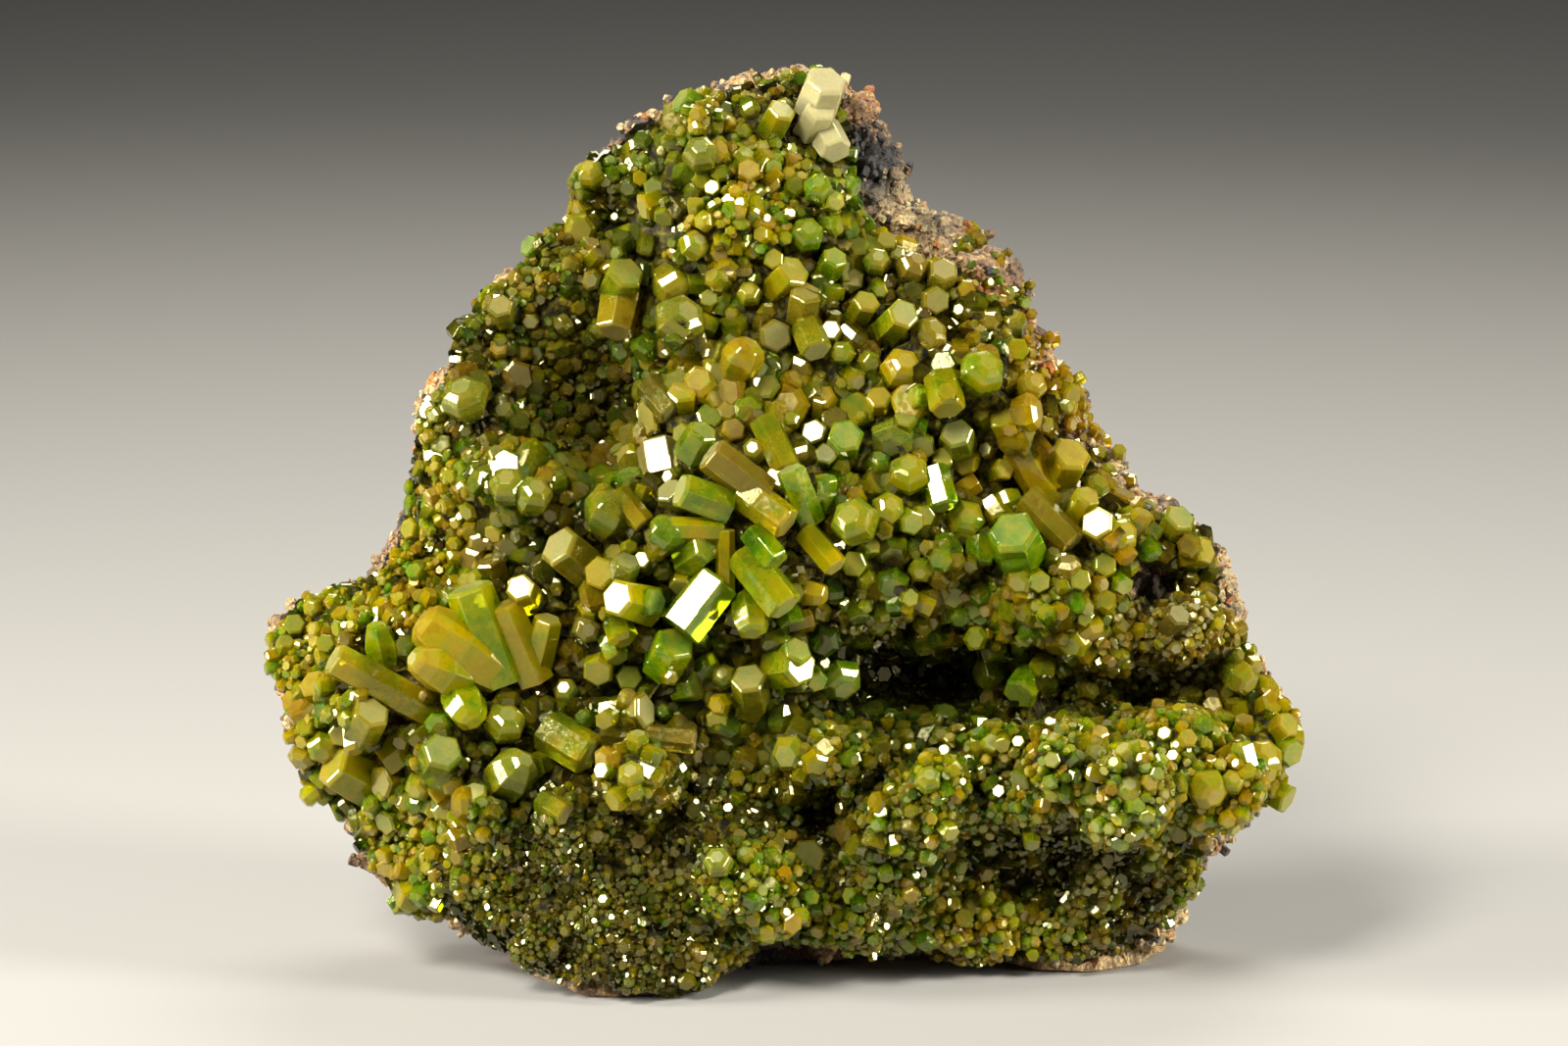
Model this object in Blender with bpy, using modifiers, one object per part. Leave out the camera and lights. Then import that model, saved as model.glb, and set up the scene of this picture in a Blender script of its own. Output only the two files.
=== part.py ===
"""Mimetite specimen: a craggy piece of rock with a crust of mimetite and large six-sided crystals on it.

The specimen is laid out as it is seen from the front. A place is given by its pixel in the picture
and by how far it stands in front of the picture plane. One pixel there is a tenth of a millimetre.
"""

import math

import bmesh
import bpy
from mathutils import Matrix, Vector, noise
from mathutils.bvhtree import BVHTree

# Driving dimensions, in metres and radians.
MM = 0.001
PIXEL = 0.1 * MM
SIGHT_DISTANCE = 600 * MM
SIGHT_TILT = math.radians(12)
PICTURE_CENTRE = (800, 533)
CENTRE_PLACE = Vector((0.1 * MM, 2.9 * MM, 43.6 * MM))
GAP = 0.35 * MM

ROCK_VOXEL = 1.5 * MM
ROCK_ROUGHNESS = 1.1 * MM
ROCK_TRIANGLES = 1150
CRUST_VOXEL = 1.0 * MM
CRUST_THICKNESS = 2.2 * MM
CRUST_ROUGHNESS = 0.5 * MM
CLUSTER = 7.5 * MM
CREASE = 1.6 * MM
CRUST_BACK = -5 * MM
CRUST_TRIANGLES = 1760
LUMP_SINK = 0.6 * MM
CROWN = 0.14  # share of a crystal's width taken by the slanting faces round its end
STAND = 0.62  # share of a crystal that stands clear of what it grows on

# Outline of the rock as seen from the front, clockwise from the peak, in pixels.
ROCK_OUTLINE = [
    (820, 66), (880, 88), (912, 132), (935, 186), (992, 228), (1044, 272), (1066, 330), (1080, 384),
    (1116, 434), (1146, 474), (1174, 508), (1236, 548), (1262, 604), (1280, 660), (1308, 704),
    (1322, 748), (1302, 800), (1256, 838), (1224, 884), (1208, 938), (1172, 978), (1120, 1000),
    (1050, 982), (960, 964), (890, 968), (800, 990), (768, 1014), (735, 1012), (700, 1026),
    (640, 1020), (570, 1006), (540, 984), (478, 950), (398, 904), (362, 874), (344, 832),
    (306, 780), (298, 725), (278, 690), (276, 640), (314, 604), (376, 594), (394, 560),
    (416, 512), (412, 460), (438, 395), (470, 338), (506, 288), (548, 252), (586, 212),
    (606, 165), (652, 120), (725, 84), (780, 66),
]
ROCK_PLATE = (-9 * MM, 0 * MM)
ROCK_REACH = 60 * MM

# Outline of the crust of crystals, clockwise from the peak. The rock shows outside it on the right.
CRUST_OUTLINE = [
    (850, 76), (868, 110), (866, 150), (880, 215), (920, 255), (975, 268), (1025, 300), (1052, 345),
    (1054, 390), (1072, 430), (1112, 478), (1152, 508), (1230, 545), (1245, 600), (1262, 655),
    (1288, 700), (1322, 742), (1305, 795), (1250, 832), (1214, 882), (1198, 925), (1150, 962),
    (1108, 985), (1050, 984), (960, 968), (900, 976), (860, 958), (770, 962), (742, 985),
    (712, 1030), (660, 1020), (600, 1002), (560, 990), (500, 955), (430, 912), (376, 872),
    (350, 832), (322, 780), (312, 730), (286, 690), (272, 650), (296, 606), (350, 596),
    (386, 588), (410, 540), (424, 500), (412, 465), (440, 400), (465, 345), (495, 290),
    (540, 262), (585, 212), (592, 180), (640, 130), (700, 98), (780, 72),
]
CRUST_REACH = 45 * MM

# Large swellings of the rock: pixel across, pixel down, forward place and the three radii, in mm.
ROCK_MASSES = {
    "front": [
        (760, 560, 0, 26, 20, 13), (470, 700, 0, 17, 13, 11), (650, 860, 2, 24, 13, 12),
        (1120, 812, 2, 19, 8, 12), (1080, 590, 0, 18, 8, 11), (760, 280, -2, 12, 20, 9),
        (640, 975, 2, 11, 7, 13), (1100, 955, -2, 12, 6, 8), (880, 925, 0, 14, 5, 11),
        (480, 400, -2, 6, 13, 6), (950, 400, -1, 14, 14, 8), (335, 690, -2, 6, 9, 6),
        (1270, 742, -1, 6, 7, 6), (560, 300, -2, 7, 8, 6), (540, 520, 0, 11, 8, 8),
        (910, 800, 0, 12, 10, 12), (430, 860, -2, 8, 5, 7),
    ],
    "back": [
        (770, 530, -9, 32, 34, 10), (790, 800, -8, 36, 19, 13), (800, 270, -6, 12, 18, 7),
        (1020, 640, -7, 20, 20, 9), (520, 700, -7, 17, 15, 9),
    ],
}
# Hollows, cut back into the rock, in the same six values.
ROCK_HOLLOWS = [
    (604, 412, 12, 9.5, 11, 13), (985, 697, 15, 17, 6.6, 18), (1085, 893, 14, 12, 4.6, 13),
    (838, 822, 17, 5, 6, 10), (968, 335, 9, 3.4, 4, 8), (1197, 590, 9, 5, 3, 7),
    (540, 420, 9, 4, 6, 6), (1205, 705, 10, 9, 2.4, 8), (700, 820, 18, 6, 3, 6),
    (870, 1000, 12, 12, 2.4, 12), (780, 180, 9, 3, 5, 4), (930, 640, 17, 6, 3, 8),
]
# Hollows of the crust alone: pixel across and down, radii across and up and the depth, in mm.
CRUST_PITS = [
    (838, 826, 2.4, 3, 5), (968, 337, 1.8, 2, 4), (1193, 590, 4.2, 2.2, 3.4), (634, 884, 1.4, 1.8, 3),
    (582, 915, 3, 0.9, 3), (629, 994, 2.2, 1, 3), (690, 998, 1.6, 0.9, 3), (1160, 700, 4.6, 1.4, 4),
    (905, 655, 3.4, 1.4, 4), (700, 812, 3.4, 1.2, 3),
]

# Rounded lumps of the crust: pixel across, pixel down, and the radii across, up and forward, in mm.
CRUST_LUMPS = {
    "peak": [
        (822, 95, 4, 3.4, 3.6), (722, 140, 5, 4.4, 4.2), (652, 160, 1.8, 4.6, 3), (603, 190, 2.8, 3.2, 3.2),
        (690, 190, 3.4, 3, 3.4), (742, 235, 6, 6, 3.8), (832, 200, 3.2, 4.4, 2.6), (850, 270, 3.4, 4, 3),
    ],
    "left_shoulder": [
        (575, 270, 6, 5, 3.6), (525, 320, 5, 5, 3.6), (640, 300, 5, 5, 3.6), (490, 400, 4.2, 4.8, 3.8),
        (450, 455, 3, 3.4, 2.8), (470, 350, 3.2, 4, 2.8), (540, 508, 5.4, 4.4, 4.8), (455, 540, 4, 4, 3),
        (430, 585, 4.2, 2.8, 2.8), (500, 590, 5, 3.4, 3.2),
    ],
    "ridge": [
        (700, 330, 5, 5, 3.2), (760, 370, 5, 4.4, 3.6), (820, 340, 5, 4, 3.6), (870, 400, 5, 5, 3.4),
        (905, 290, 4, 3.4, 3.2), (930, 345, 4, 4, 2.8), (1012, 330, 3.4, 3.4, 2.6), (955, 400, 5, 4, 3.4),
        (1005, 380, 4, 4, 3.4), (1040, 430, 3.4, 4, 3), (1075, 482, 4.6, 4.4, 3.6),
    ],
    "centre": [
        (740, 500, 8, 6, 4.4), (680, 540, 6, 5, 4), (800, 560, 6, 6, 4.4), (640, 610, 6, 4.4, 4),
        (560, 610, 5, 5, 4.4), (740, 620, 5, 4.4, 4.4), (870, 530, 5.4, 4.4, 4.4), (900, 600, 6, 4, 5),
        (960, 560, 5, 5, 4), (965, 625, 4.4, 3.2, 3.8), (920, 480, 5, 4, 3.6), (860, 450, 4, 4, 3.6),
    ],
    "right_ledge": [
        (1040, 560, 5, 4.4, 4.4), (1100, 530, 5, 4.4, 4.4), (1150, 550, 4, 3.4, 3.6), (1212, 545, 3.2, 2, 3),
        (1080, 612, 5, 3.2, 4.2), (1130, 650, 4.4, 4, 4), (1190, 655, 4.8, 4.4, 4), (1245, 665, 3, 4.4, 3.6),
        (1050, 692, 4, 3.2, 6), (1010, 642, 4, 2.8, 3.8),
    ],
    "left_lobe": [
        (330, 622, 4.6, 3, 3.2), (300, 660, 2.6, 3.8, 2.8), (350, 730, 4, 4, 2.8), (342, 792, 3.8, 4, 3),
        (395, 840, 4.2, 3.8, 3.4), (460, 790, 6, 5, 4), (525, 785, 4.4, 4, 4), (580, 750, 5, 4, 3.6),
        (650, 742, 6, 5, 4.4), (610, 690, 5, 4, 3.6), (700, 690, 5, 4.4, 4), (785, 695, 6, 4.6, 5),
    ],
    "lower_left": [
        (650, 790, 4.4, 4.4, 4.6), (580, 832, 4, 3.4, 3), (700, 852, 4, 3.2, 2.6), (780, 900, 6, 5.4, 5),
        (735, 882, 3.4, 4, 3.6), (600, 892, 6, 4.4, 3), (520, 862, 6, 5, 3.6), (470, 900, 4, 3.2, 2.8),
        (560, 955, 5, 3.6, 3), (640, 960, 5, 4, 3), (706, 1002, 3.2, 3, 3),
        (435, 918, 3.2, 2.2, 2.6), (505, 954, 3.4, 2.4, 2.8), (570, 990, 3, 2.2, 2.6),
    ],
    "lower_right": [
        (850, 790, 4.4, 4.4, 4), (905, 770, 3.4, 3.4, 3.2), (950, 822, 5.4, 5, 4.6), (890, 860, 4.4, 4, 3.6),
        (930, 905, 4, 4, 3.6), (870, 922, 3.4, 3.4, 3.2), (920, 955, 3.4, 2.2, 2.8), (1000, 955, 5.4, 3.2, 4),
        (1040, 780, 4.4, 4, 4), (1100, 800, 5.4, 4.4, 4.6), (1150, 815, 5.4, 5, 5), (1060, 842, 4.4, 3.6, 3.6),
        (1190, 760, 5.4, 4, 4), (1240, 800, 4.8, 4, 4), (1296, 746, 3, 3.4, 3), (1265, 702, 3.4, 2.8, 2.8),
        (1110, 915, 5.4, 1.8, 3.4), (1140, 945, 4.4, 2.8, 3.4), (1188, 900, 2.4, 3.4, 3), (1112, 968, 3.4, 1.8, 2.4),
    ],
}

# Crystals: pixel across and down, width and length in mm, then angles in degrees: which way the end
# leans in the picture, anticlockwise from the right, and how far it turns to the viewer. Large ones
# also have their turn about their own axis, where 0 has an edge to the viewer and 30 a face, and the
# width of the end as a share of the root's.
# Large crystals that stand free of each other, and groups that have grown into each other, by name.
LARGE_CRYSTALS = {
    "long_prism_left": [(396, 702, 3.8, 13.0, 150, 16, 12, 1.0)],
    "barrel_group_left": [(470, 660, 6.4, 10.0, 145, 12, 20, 0.8), (450, 682, 6.0, 7.6, 158, 38, 5, 0.5)],
    "green_barrel_left": [(388, 656, 3.6, 4.6, 100, 25, 0, 0.7)],
    "tabular_group_left": [
        (496, 647, 5.0, 10.4, 110, 10, 30, 1.0), (530, 655, 4.2, 8.6, 112, 14, 10, 0.9),
        (553, 657, 3.4, 6.0, 75, 24, 15, 0.9),
    ],
    "pale_block_left": [(535, 605, 3.8, 4.2, 70, 58, 0, 0.8)],
    "round_barrel_left": [(475, 720, 4.6, 5.0, -60, 40, 0, 0.7)],
    "block_lower_left": [(358, 789, 5.6, 5.0, 150, 30, 0, 0.9)],
    "barrel_lower_left": [(524, 787, 5.6, 5.2, 45, 45, 0, 0.6)],
    "olive_block_lower_left": [(580, 757, 4.6, 5.6, -30, 20, 25, 1.0)],
    "lying_prism_low": [(662, 751, 2.8, 9.4, -5, 6, 10, 1.0)],
    "tan_block_left": [(585, 568, 4.8, 5.0, 140, 38, 0, 1.0)],
    "bright_block_centre": [(645, 613, 4.8, 5.2, 165, 52, 0, 0.85)],
    "green_block_centre": [(656, 614, 3.8, 4.0, 5, 45, 0, 0.8)],
    "tan_block_centre": [(675, 468, 4.8, 3.8, 105, 8, 8, 1.0)],
    "dark_block_centre": [(711, 451, 3.8, 3.6, 60, 35, 20, 0.85)],
    "stacked_prisms_centre": [(752, 483, 3.9, 7.0, 143, 12, 20, 1.0), (781, 518, 3.8, 5.8, -38, 16, 20, 1.0)],
    "green_prism_centre": [(718, 508, 4.0, 5.4, 160, 20, 5, 1.0)],
    "flat_prism_centre": [(710, 540, 2.6, 5.4, 178, 10, 20, 1.0)],
    "green_end_centre": [(710, 565, 3.6, 3.8, 35, 45, 0, 0.9)],
    "upright_prism_centre": [(740, 570, 2.0, 6.0, 90, 8, 25, 1.0)],
    "bright_prism_centre": [(714, 616, 5.0, 6.4, 60, 12, 12, 1.0)],
    "large_prism_centre": [(780, 592, 4.1, 7.2, -52, 18, 15, 1.0)],
    "tall_green_prism_centre": [(817, 505, 3.2, 6.0, 112, 18, 10, 1.0)],
    "olive_prism_centre": [(791, 453, 3.2, 5.8, -65, 15, 10, 1.0)],
    "yellow_prism_centre": [(838, 560, 2.8, 5.0, -50, 20, 10, 1.0)],
    "hexagonal_block_right": [(1037, 553, 5.8, 4.8, 110, 58, 10, 0.9)],
    "tan_prism_right": [(1072, 530, 3.2, 6.8, -45, 14, 25, 1.0)],
    "twin_prisms_right": [(1053, 481, 3.8, 6.0, 120, 15, 25, 1.0), (1086, 474, 5.0, 4.4, 60, 50, 0, 0.9)],
    "bright_block_right": [(1124, 539, 3.6, 4.2, 75, 50, 0, 1.0)],
    "tan_block_upper": [(631, 318, 4.6, 4.8, -100, 25, 10, 0.9)],
    "cream_group_peak": [
        (838, 96, 5.0, 4.4, 70, 45, 0, 0.9), (832, 121, 3.8, 4.0, 60, 50, 10, 0.9),
        (846, 142, 3.8, 4.0, -60, 40, 20, 0.9),
    ],
    "round_prism_upper": [(914, 328, 3.6, 5.0, 45, 62, 0, 0.95)],
}
# Smaller crystals, which have grown into the crust.
CRUST_CRYSTALS = {
    "peak": [
        (792, 123, 3.2, 3.4, 60, 40), (715, 158, 3.4, 3.4, 90, 60), (835, 193, 2.8, 3.0, 90, 60),
        (823, 240, 3.2, 3.2, 70, 60), (848, 270, 2.8, 3.0, 60, 50), (707, 251, 2.8, 3.0, 45, 50),
        (895, 268, 2.6, 2.8, 80, 60), (931, 273, 3.0, 3.0, 60, 45), (603, 178, 2.6, 2.8, 110, 50),
    ],
    "upper": [
        (634, 287, 4.2, 3.6, 60, 50), (693, 327, 4.8, 4.2, 45, 50), (685, 289, 3.6, 3.6, -60, 30),
        (512, 318, 2.8, 2.8, 100, 60), (800, 286, 4.0, 4.2, 45, 45), (820, 311, 3.6, 3.6, 80, 40),
        (828, 345, 3.4, 3.6, -70, 35), (880, 315, 3.0, 3.0, 60, 50), (960, 283, 3.2, 3.2, 70, 55), (947, 342, 3.4, 3.4, 45, 45), (757, 366, 3.8, 4.2, 60, 25),
        (919, 377, 3.8, 3.8, 60, 55), (674, 406, 3.2, 4.4, -50, 25),
        (964, 401, 3.8, 4.0, -80, 30), (1001, 381, 4.2, 4.2, 60, 50), (1036, 438, 4.4, 4.6, 120, 30),
        (1051, 394, 3.0, 3.0, 45, 55), (475, 407, 4.4, 3.8, 110, 45), 
    ],
    "centre": [
        (862, 449, 3.8, 3.2, 80, 70), (842, 467, 2.4, 3.0, 80, 70), (911, 447, 4.2, 3.0, -100, 50), (927, 484, 3.8, 3.6, 90, 50), (978, 449, 3.6, 3.4, 110, 60),
        (958, 498, 3.2, 4.2, -75, 20), (873, 532, 4.4, 3.8, 130, 55), (967, 563, 2.8, 3.6, -75, 30), (681, 544, 3.6, 3.4, 60, 25), (780, 558, 3.2, 4.2, -50, 20), (842, 503, 2.4, 3.6, 85, 20),
        (765, 627, 3.4, 4.6, -80, 35), (806, 628, 3.0, 3.0, -70, 35), (825, 604, 2.4, 3.8, -10, 15),
        (519, 497, 3.6, 3.4, 100, 50), (543, 506, 3.6, 3.6, 60, 50),
        (621, 522, 4.6, 4.2, 60, 30), (644, 519, 2.6, 4.4, -50, 15), (690, 508, 3.2, 3.2, 130, 40),
        (636, 583, 3.0, 3.2, 70, 40),
    ],
    "lower": [
        (374, 737, 4.0, 4.0, 60, 45), (448, 773, 4.4, 3.8, 60, 60), (486, 818, 3.0, 3.2, 100, 40),
        (515, 738, 3.8, 3.6, 70, 50), (566, 823, 2.8, 3.4, -30, 30), (640, 727, 4.0, 4.6, 10, 30),
        (645, 792, 2.8, 3.0, 100, 60), (766, 702, 3.8, 4.2, 100, 55), (804, 680, 4.4, 4.2, 10, 50), (855, 692, 4.4, 3.6, -60, 45), (682, 668, 4.4, 4.4, 60, 45),
        (733, 881, 2.8, 3.0, 100, 60), (947, 796, 2.6, 2.8, 80, 60),
    ],
    "right": [
        (1141, 547, 3.4, 3.4, 40, 50), (1198, 537, 3.6, 3.4, 60, 45),
        (1220, 564, 3.0, 3.0, 20, 45), (1104, 515, 2.8, 3.2, 60, 40), (1198, 634, 2.8, 3.0, 60, 50),
        (1048, 697, 3.8, 4.2, -130, 45), (1013, 686, 3.6, 3.8, 180, 30),
        (1231, 804, 3.8, 3.6, -45, 50), (1287, 776, 4.0, 3.8, 60, 45),
        (1306, 744, 3.0, 3.0, 40, 45), (1151, 807, 2.8, 3.0, 80, 60), (1265, 690, 3.2, 3.4, -40, 40),
    ],
}

ROCK_COLOUR = (0.16, 0.12, 0.10, 1)
CRUST_COLOUR = (0.33, 0.38, 0.05, 1)
CRYSTAL_COLOUR = (0.42, 0.46, 0.04, 1)


def clear_scene():
    for thing in list(bpy.data.objects):
        bpy.data.objects.remove(thing, do_unlink=True)


def new_collection(name):
    collection = bpy.data.collections.new(name)
    bpy.context.scene.collection.children.link(collection)
    return collection


def new_material(name, colour, roughness):
    material = bpy.data.materials.new(name)
    material.use_nodes = True
    shader = material.node_tree.nodes["Principled BSDF"]
    shader.inputs["Base Color"].default_value = colour
    shader.inputs["Roughness"].default_value = roughness
    shader.inputs["Metallic"].default_value = 0
    return material


def place(across, down, forward):
    """The place in the sight frame of what is seen at a pixel, forward metres before the picture plane."""
    nearness = 1 - forward / SIGHT_DISTANCE
    right = (across - PICTURE_CENTRE[0]) * PIXEL
    up = (PICTURE_CENTRE[1] - down) * PIXEL
    return Vector((right * nearness, up * nearness, forward))


def as_object(name, work, collection, frame, hidden=False):
    """A new object from a bmesh whose points are in the sight frame."""
    mesh = bpy.data.meshes.new(name)
    work.to_mesh(mesh)
    work.free()
    thing = bpy.data.objects.new(name, mesh)
    collection.objects.link(thing)
    thing.parent = frame
    if hidden:
        thing.hide_render = True
        thing.display_type = "WIRE"
    return thing


def settle(thing):
    """Makes an object's modifiers part of its mesh."""
    bpy.context.view_layer.update()
    graph = bpy.context.evaluated_depsgraph_get()
    mesh = bpy.data.meshes.new_from_object(thing.evaluated_get(graph))
    thing.modifiers.clear()
    thing.data = mesh


def remeshed(thing, voxel, smoothing):
    """Joins an object's overlapping shapes in one skin and rounds its edges."""
    remesh = thing.modifiers.new("one_skin", "REMESH")
    remesh.mode = "VOXEL"
    remesh.voxel_size = voxel
    if smoothing:
        smooth = thing.modifiers.new("rounding", "SMOOTH")
        smooth.factor = 0.5
        smooth.iterations = smoothing
    settle(thing)


def thinned(thing, triangles):
    """Collapses an object's mesh to about that many triangles."""
    thing.data.calc_loop_triangles()
    share = triangles / len(thing.data.loop_triangles)
    if share < 1:
        decimate = thing.modifiers.new("fewer_faces", "DECIMATE")
        decimate.ratio = share
        settle(thing)


def combined(thing, operation, others):
    """Joins, cuts or clips an object with the objects of a collection."""
    boolean = thing.modifiers.new(operation.lower(), "BOOLEAN")
    boolean.operation = operation
    boolean.solver = "EXACT"
    boolean.operand_type = "COLLECTION"
    boolean.collection = others
    settle(thing)


def keep_largest(thing):
    """Drops all but the largest of an object's separate bodies, and joins points that coincide."""
    work = bmesh.new()
    work.from_mesh(thing.data)
    bmesh.ops.remove_doubles(work, verts=work.verts, dist=0.002 * MM)
    bmesh.ops.triangulate(work, faces=work.faces)
    left = set(work.faces)
    bodies = []
    while left:
        front = [left.pop()]
        body = []
        while front:
            face = front.pop()
            body.append(face)
            for edge in face.edges:
                for other in edge.link_faces:
                    if other in left:
                        left.remove(other)
                        front.append(other)
        bodies.append(body)
    bodies.sort(key=lambda body: sum(face.calc_area() for face in body))
    for body in bodies[:-1]:
        bmesh.ops.delete(work, geom=body, context="FACES")
    loose = [point for point in work.verts if not point.link_faces]
    bmesh.ops.delete(work, geom=loose, context="VERTS")
    work.to_mesh(thing.data)
    work.free()


def roughened(thing, amount):
    """Moves each point in or out by a broad and a finer swell, as broken rock has."""
    work = bmesh.new()
    work.from_mesh(thing.data)
    work.normal_update()
    for point in work.verts:
        broad = noise.fractal(point.co / (11 * MM), 0.9, 2.1, 3)
        ridge = 0.5 - abs(noise.noise(point.co / (4.5 * MM)))
        point.co += point.normal * amount * (broad + 0.7 * ridge)
    work.to_mesh(thing.data)
    work.free()


def clustered(thing, depth):
    """Draws a skin in along the lines where rounded clusters of crystals meet."""
    work = bmesh.new()
    work.from_mesh(thing.data)
    work.normal_update()
    for point in work.verts:
        sway = Vector((noise.noise(point.co / (5 * MM)), noise.noise(point.co / (5 * MM) + Vector((9, 0, 0))), 0))
        near, far = noise.voronoi(point.co / CLUSTER + sway * 0.2)[0][:2]
        line = 1 - min(1.0, (far - near) / 0.34)
        point.co -= point.normal * depth * line * line
    work.to_mesh(thing.data)
    work.free()


def grown_copy(thing, name, amount, collection):
    """A cutter of an object's form with every face moved out by the amount."""
    work = bmesh.new()
    work.from_mesh(thing.data)
    work.normal_update()
    shifts = [point.normal * amount * point.calc_shell_factor() for point in work.verts]
    for point, shift in zip(work.verts, shifts):
        point.co += shift
    return as_object(name, work, collection, thing.parent, hidden=True)


def add_ellipsoid(work, centre, radii, rings):
    form = Matrix.Translation(centre) @ Matrix.Diagonal((*radii, 1))
    bmesh.ops.create_icosphere(work, subdivisions=rings, radius=1, matrix=form)


def outline_block(name, outline, low, high, collection, frame):
    """A flat outline with a thickness, between two distances from the picture plane."""
    curve = bpy.data.curves.new(name, "CURVE")
    curve.dimensions = "2D"
    curve.fill_mode = "BOTH"
    curve.extrude = (high - low) / 2
    line = curve.splines.new("POLY")
    line.points.add(len(outline) - 1)
    for point, (across, down) in zip(line.points, outline):
        point.co = (*place(across, down, 0).xy, 0, 1)
    line.use_cyclic_u = True
    flat = bpy.data.objects.new(name, curve)
    bpy.context.scene.collection.objects.link(flat)
    bpy.context.view_layer.update()
    graph = bpy.context.evaluated_depsgraph_get()
    work = bmesh.new()
    work.from_mesh(bpy.data.meshes.new_from_object(flat.evaluated_get(graph)))
    bpy.data.objects.remove(flat, do_unlink=True)
    bmesh.ops.remove_doubles(work, verts=work.verts, dist=0.001 * MM)
    bmesh.ops.translate(work, verts=work.verts, vec=(0, 0, (low + high) / 2))
    bmesh.ops.recalc_face_normals(work, faces=work.faces)
    return as_object(name, work, collection, frame, hidden=True)


def make_rock(parts, tools, frame):
    """The rock: a plate of the outline with swellings before and behind it, hollowed and cut flat below."""
    rock = outline_block("matrix", ROCK_OUTLINE, *ROCK_PLATE, parts, frame)
    rock.hide_render = False
    rock.display_type = "TEXTURED"
    work = bmesh.new()
    work.from_mesh(rock.data)
    for masses in ROCK_MASSES.values():
        for across, down, forward, *radii in masses:
            add_ellipsoid(work, place(across, down, forward * MM), [r * MM for r in radii], 3)
    work.to_mesh(rock.data)
    work.free()
    remeshed(rock, ROCK_VOXEL, 2)
    edge = bpy.data.collections.new("rock_edge")
    tools.children.link(edge)
    outline_block("rock_edge_block", ROCK_OUTLINE, -ROCK_REACH, ROCK_REACH, edge, frame)
    combined(rock, "INTERSECT", edge)

    hollows = bpy.data.collections.new("hollows")
    tools.children.link(hollows)
    for number, (across, down, forward, *radii) in enumerate(ROCK_HOLLOWS):
        work = bmesh.new()
        add_ellipsoid(work, place(across, down, forward * MM), [r * MM for r in radii], 3)
        as_object(f"hollow_{number}", work, hollows, frame, hidden=True)
    combined(rock, "DIFFERENCE", hollows)
    remeshed(rock, ROCK_VOXEL, 3)
    roughened(rock, ROCK_ROUGHNESS)
    thinned(rock, ROCK_TRIANGLES)

    ground = bpy.data.collections.new("ground")
    tools.children.link(ground)
    block = bmesh.new()
    below = frame.matrix_world.inverted() @ Matrix.Translation((0, 0, -50 * MM))
    bmesh.ops.create_cube(block, size=1, matrix=below @ Matrix.Diagonal((400 * MM, 400 * MM, 100 * MM, 1)))
    as_object("ground_block", block, ground, frame, hidden=True)
    combined(rock, "DIFFERENCE", ground)
    keep_largest(rock)
    return rock, ground


def surface_finder(thing):
    """A function that gives how far forward an object's surface is at a pixel, or None beside it."""
    graph = bpy.context.evaluated_depsgraph_get()
    tree = BVHTree.FromObject(thing, graph)
    eye = Vector((0, 0, SIGHT_DISTANCE))

    def forward_at(across, down):
        aim = place(across, down, 0) - eye
        hit = tree.ray_cast(eye, aim.normalized())[0]
        return None if hit is None else hit.z

    return forward_at


def crystal_matrix(centre, lean, face, roll):
    """Turns +Z to a crystal's long axis and sets it at its centre."""
    lean = math.radians(lean)
    face = math.radians(face)
    axis = Vector((math.cos(lean) * math.cos(face), math.sin(lean) * math.cos(face), math.sin(face)))
    turn = axis.to_track_quat("Z", "Y").to_matrix().to_4x4()
    return Matrix.Translation(centre) @ turn @ Matrix.Rotation(math.radians(roll), 4, "Z")


def add_prism(work, form, width, length, end=1.0, grow=0):
    """A plain six-sided prism, or one that narrows to its end, larger all round by the amount to grow."""
    radius = width / 2
    bmesh.ops.create_cone(
        work, cap_ends=True, segments=6, radius1=radius + grow, radius2=radius * end + grow,
        depth=length + 2 * grow, matrix=form,
    )


def add_crystal(work, form, width, length, end):
    """A six-sided prism with a flat end and a ring of slanting faces round it."""
    add_prism(work, form, width, length, end)
    back = form.inverted()
    edges = [edge for edge in work.edges if all((back @ point.co).z > length * 0.49 for point in edge.verts)]
    bmesh.ops.bevel(
        work, geom=edges, offset=CROWN * width * end, offset_type="OFFSET", segments=1, profile=0.5,
        affect="EDGES", material=-1,
    )


def seated(crystal, forward_at):
    """The matrix of a crystal, set so that STAND of its depth is clear of the surface behind it."""
    across, down, width, length, lean, face = crystal[:6]
    turned = math.radians(face)
    reach = (length * abs(math.sin(turned)) + width * math.cos(turned)) / 2 * MM
    surface = forward_at(across, down)
    forward = (surface if surface is not None else 0) + reach * (2 * STAND - 1)
    roll = crystal[6] if len(crystal) > 6 else (across * 7 + down * 13) % 60
    return crystal_matrix(place(across, down, forward), lean, face, roll)


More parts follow.
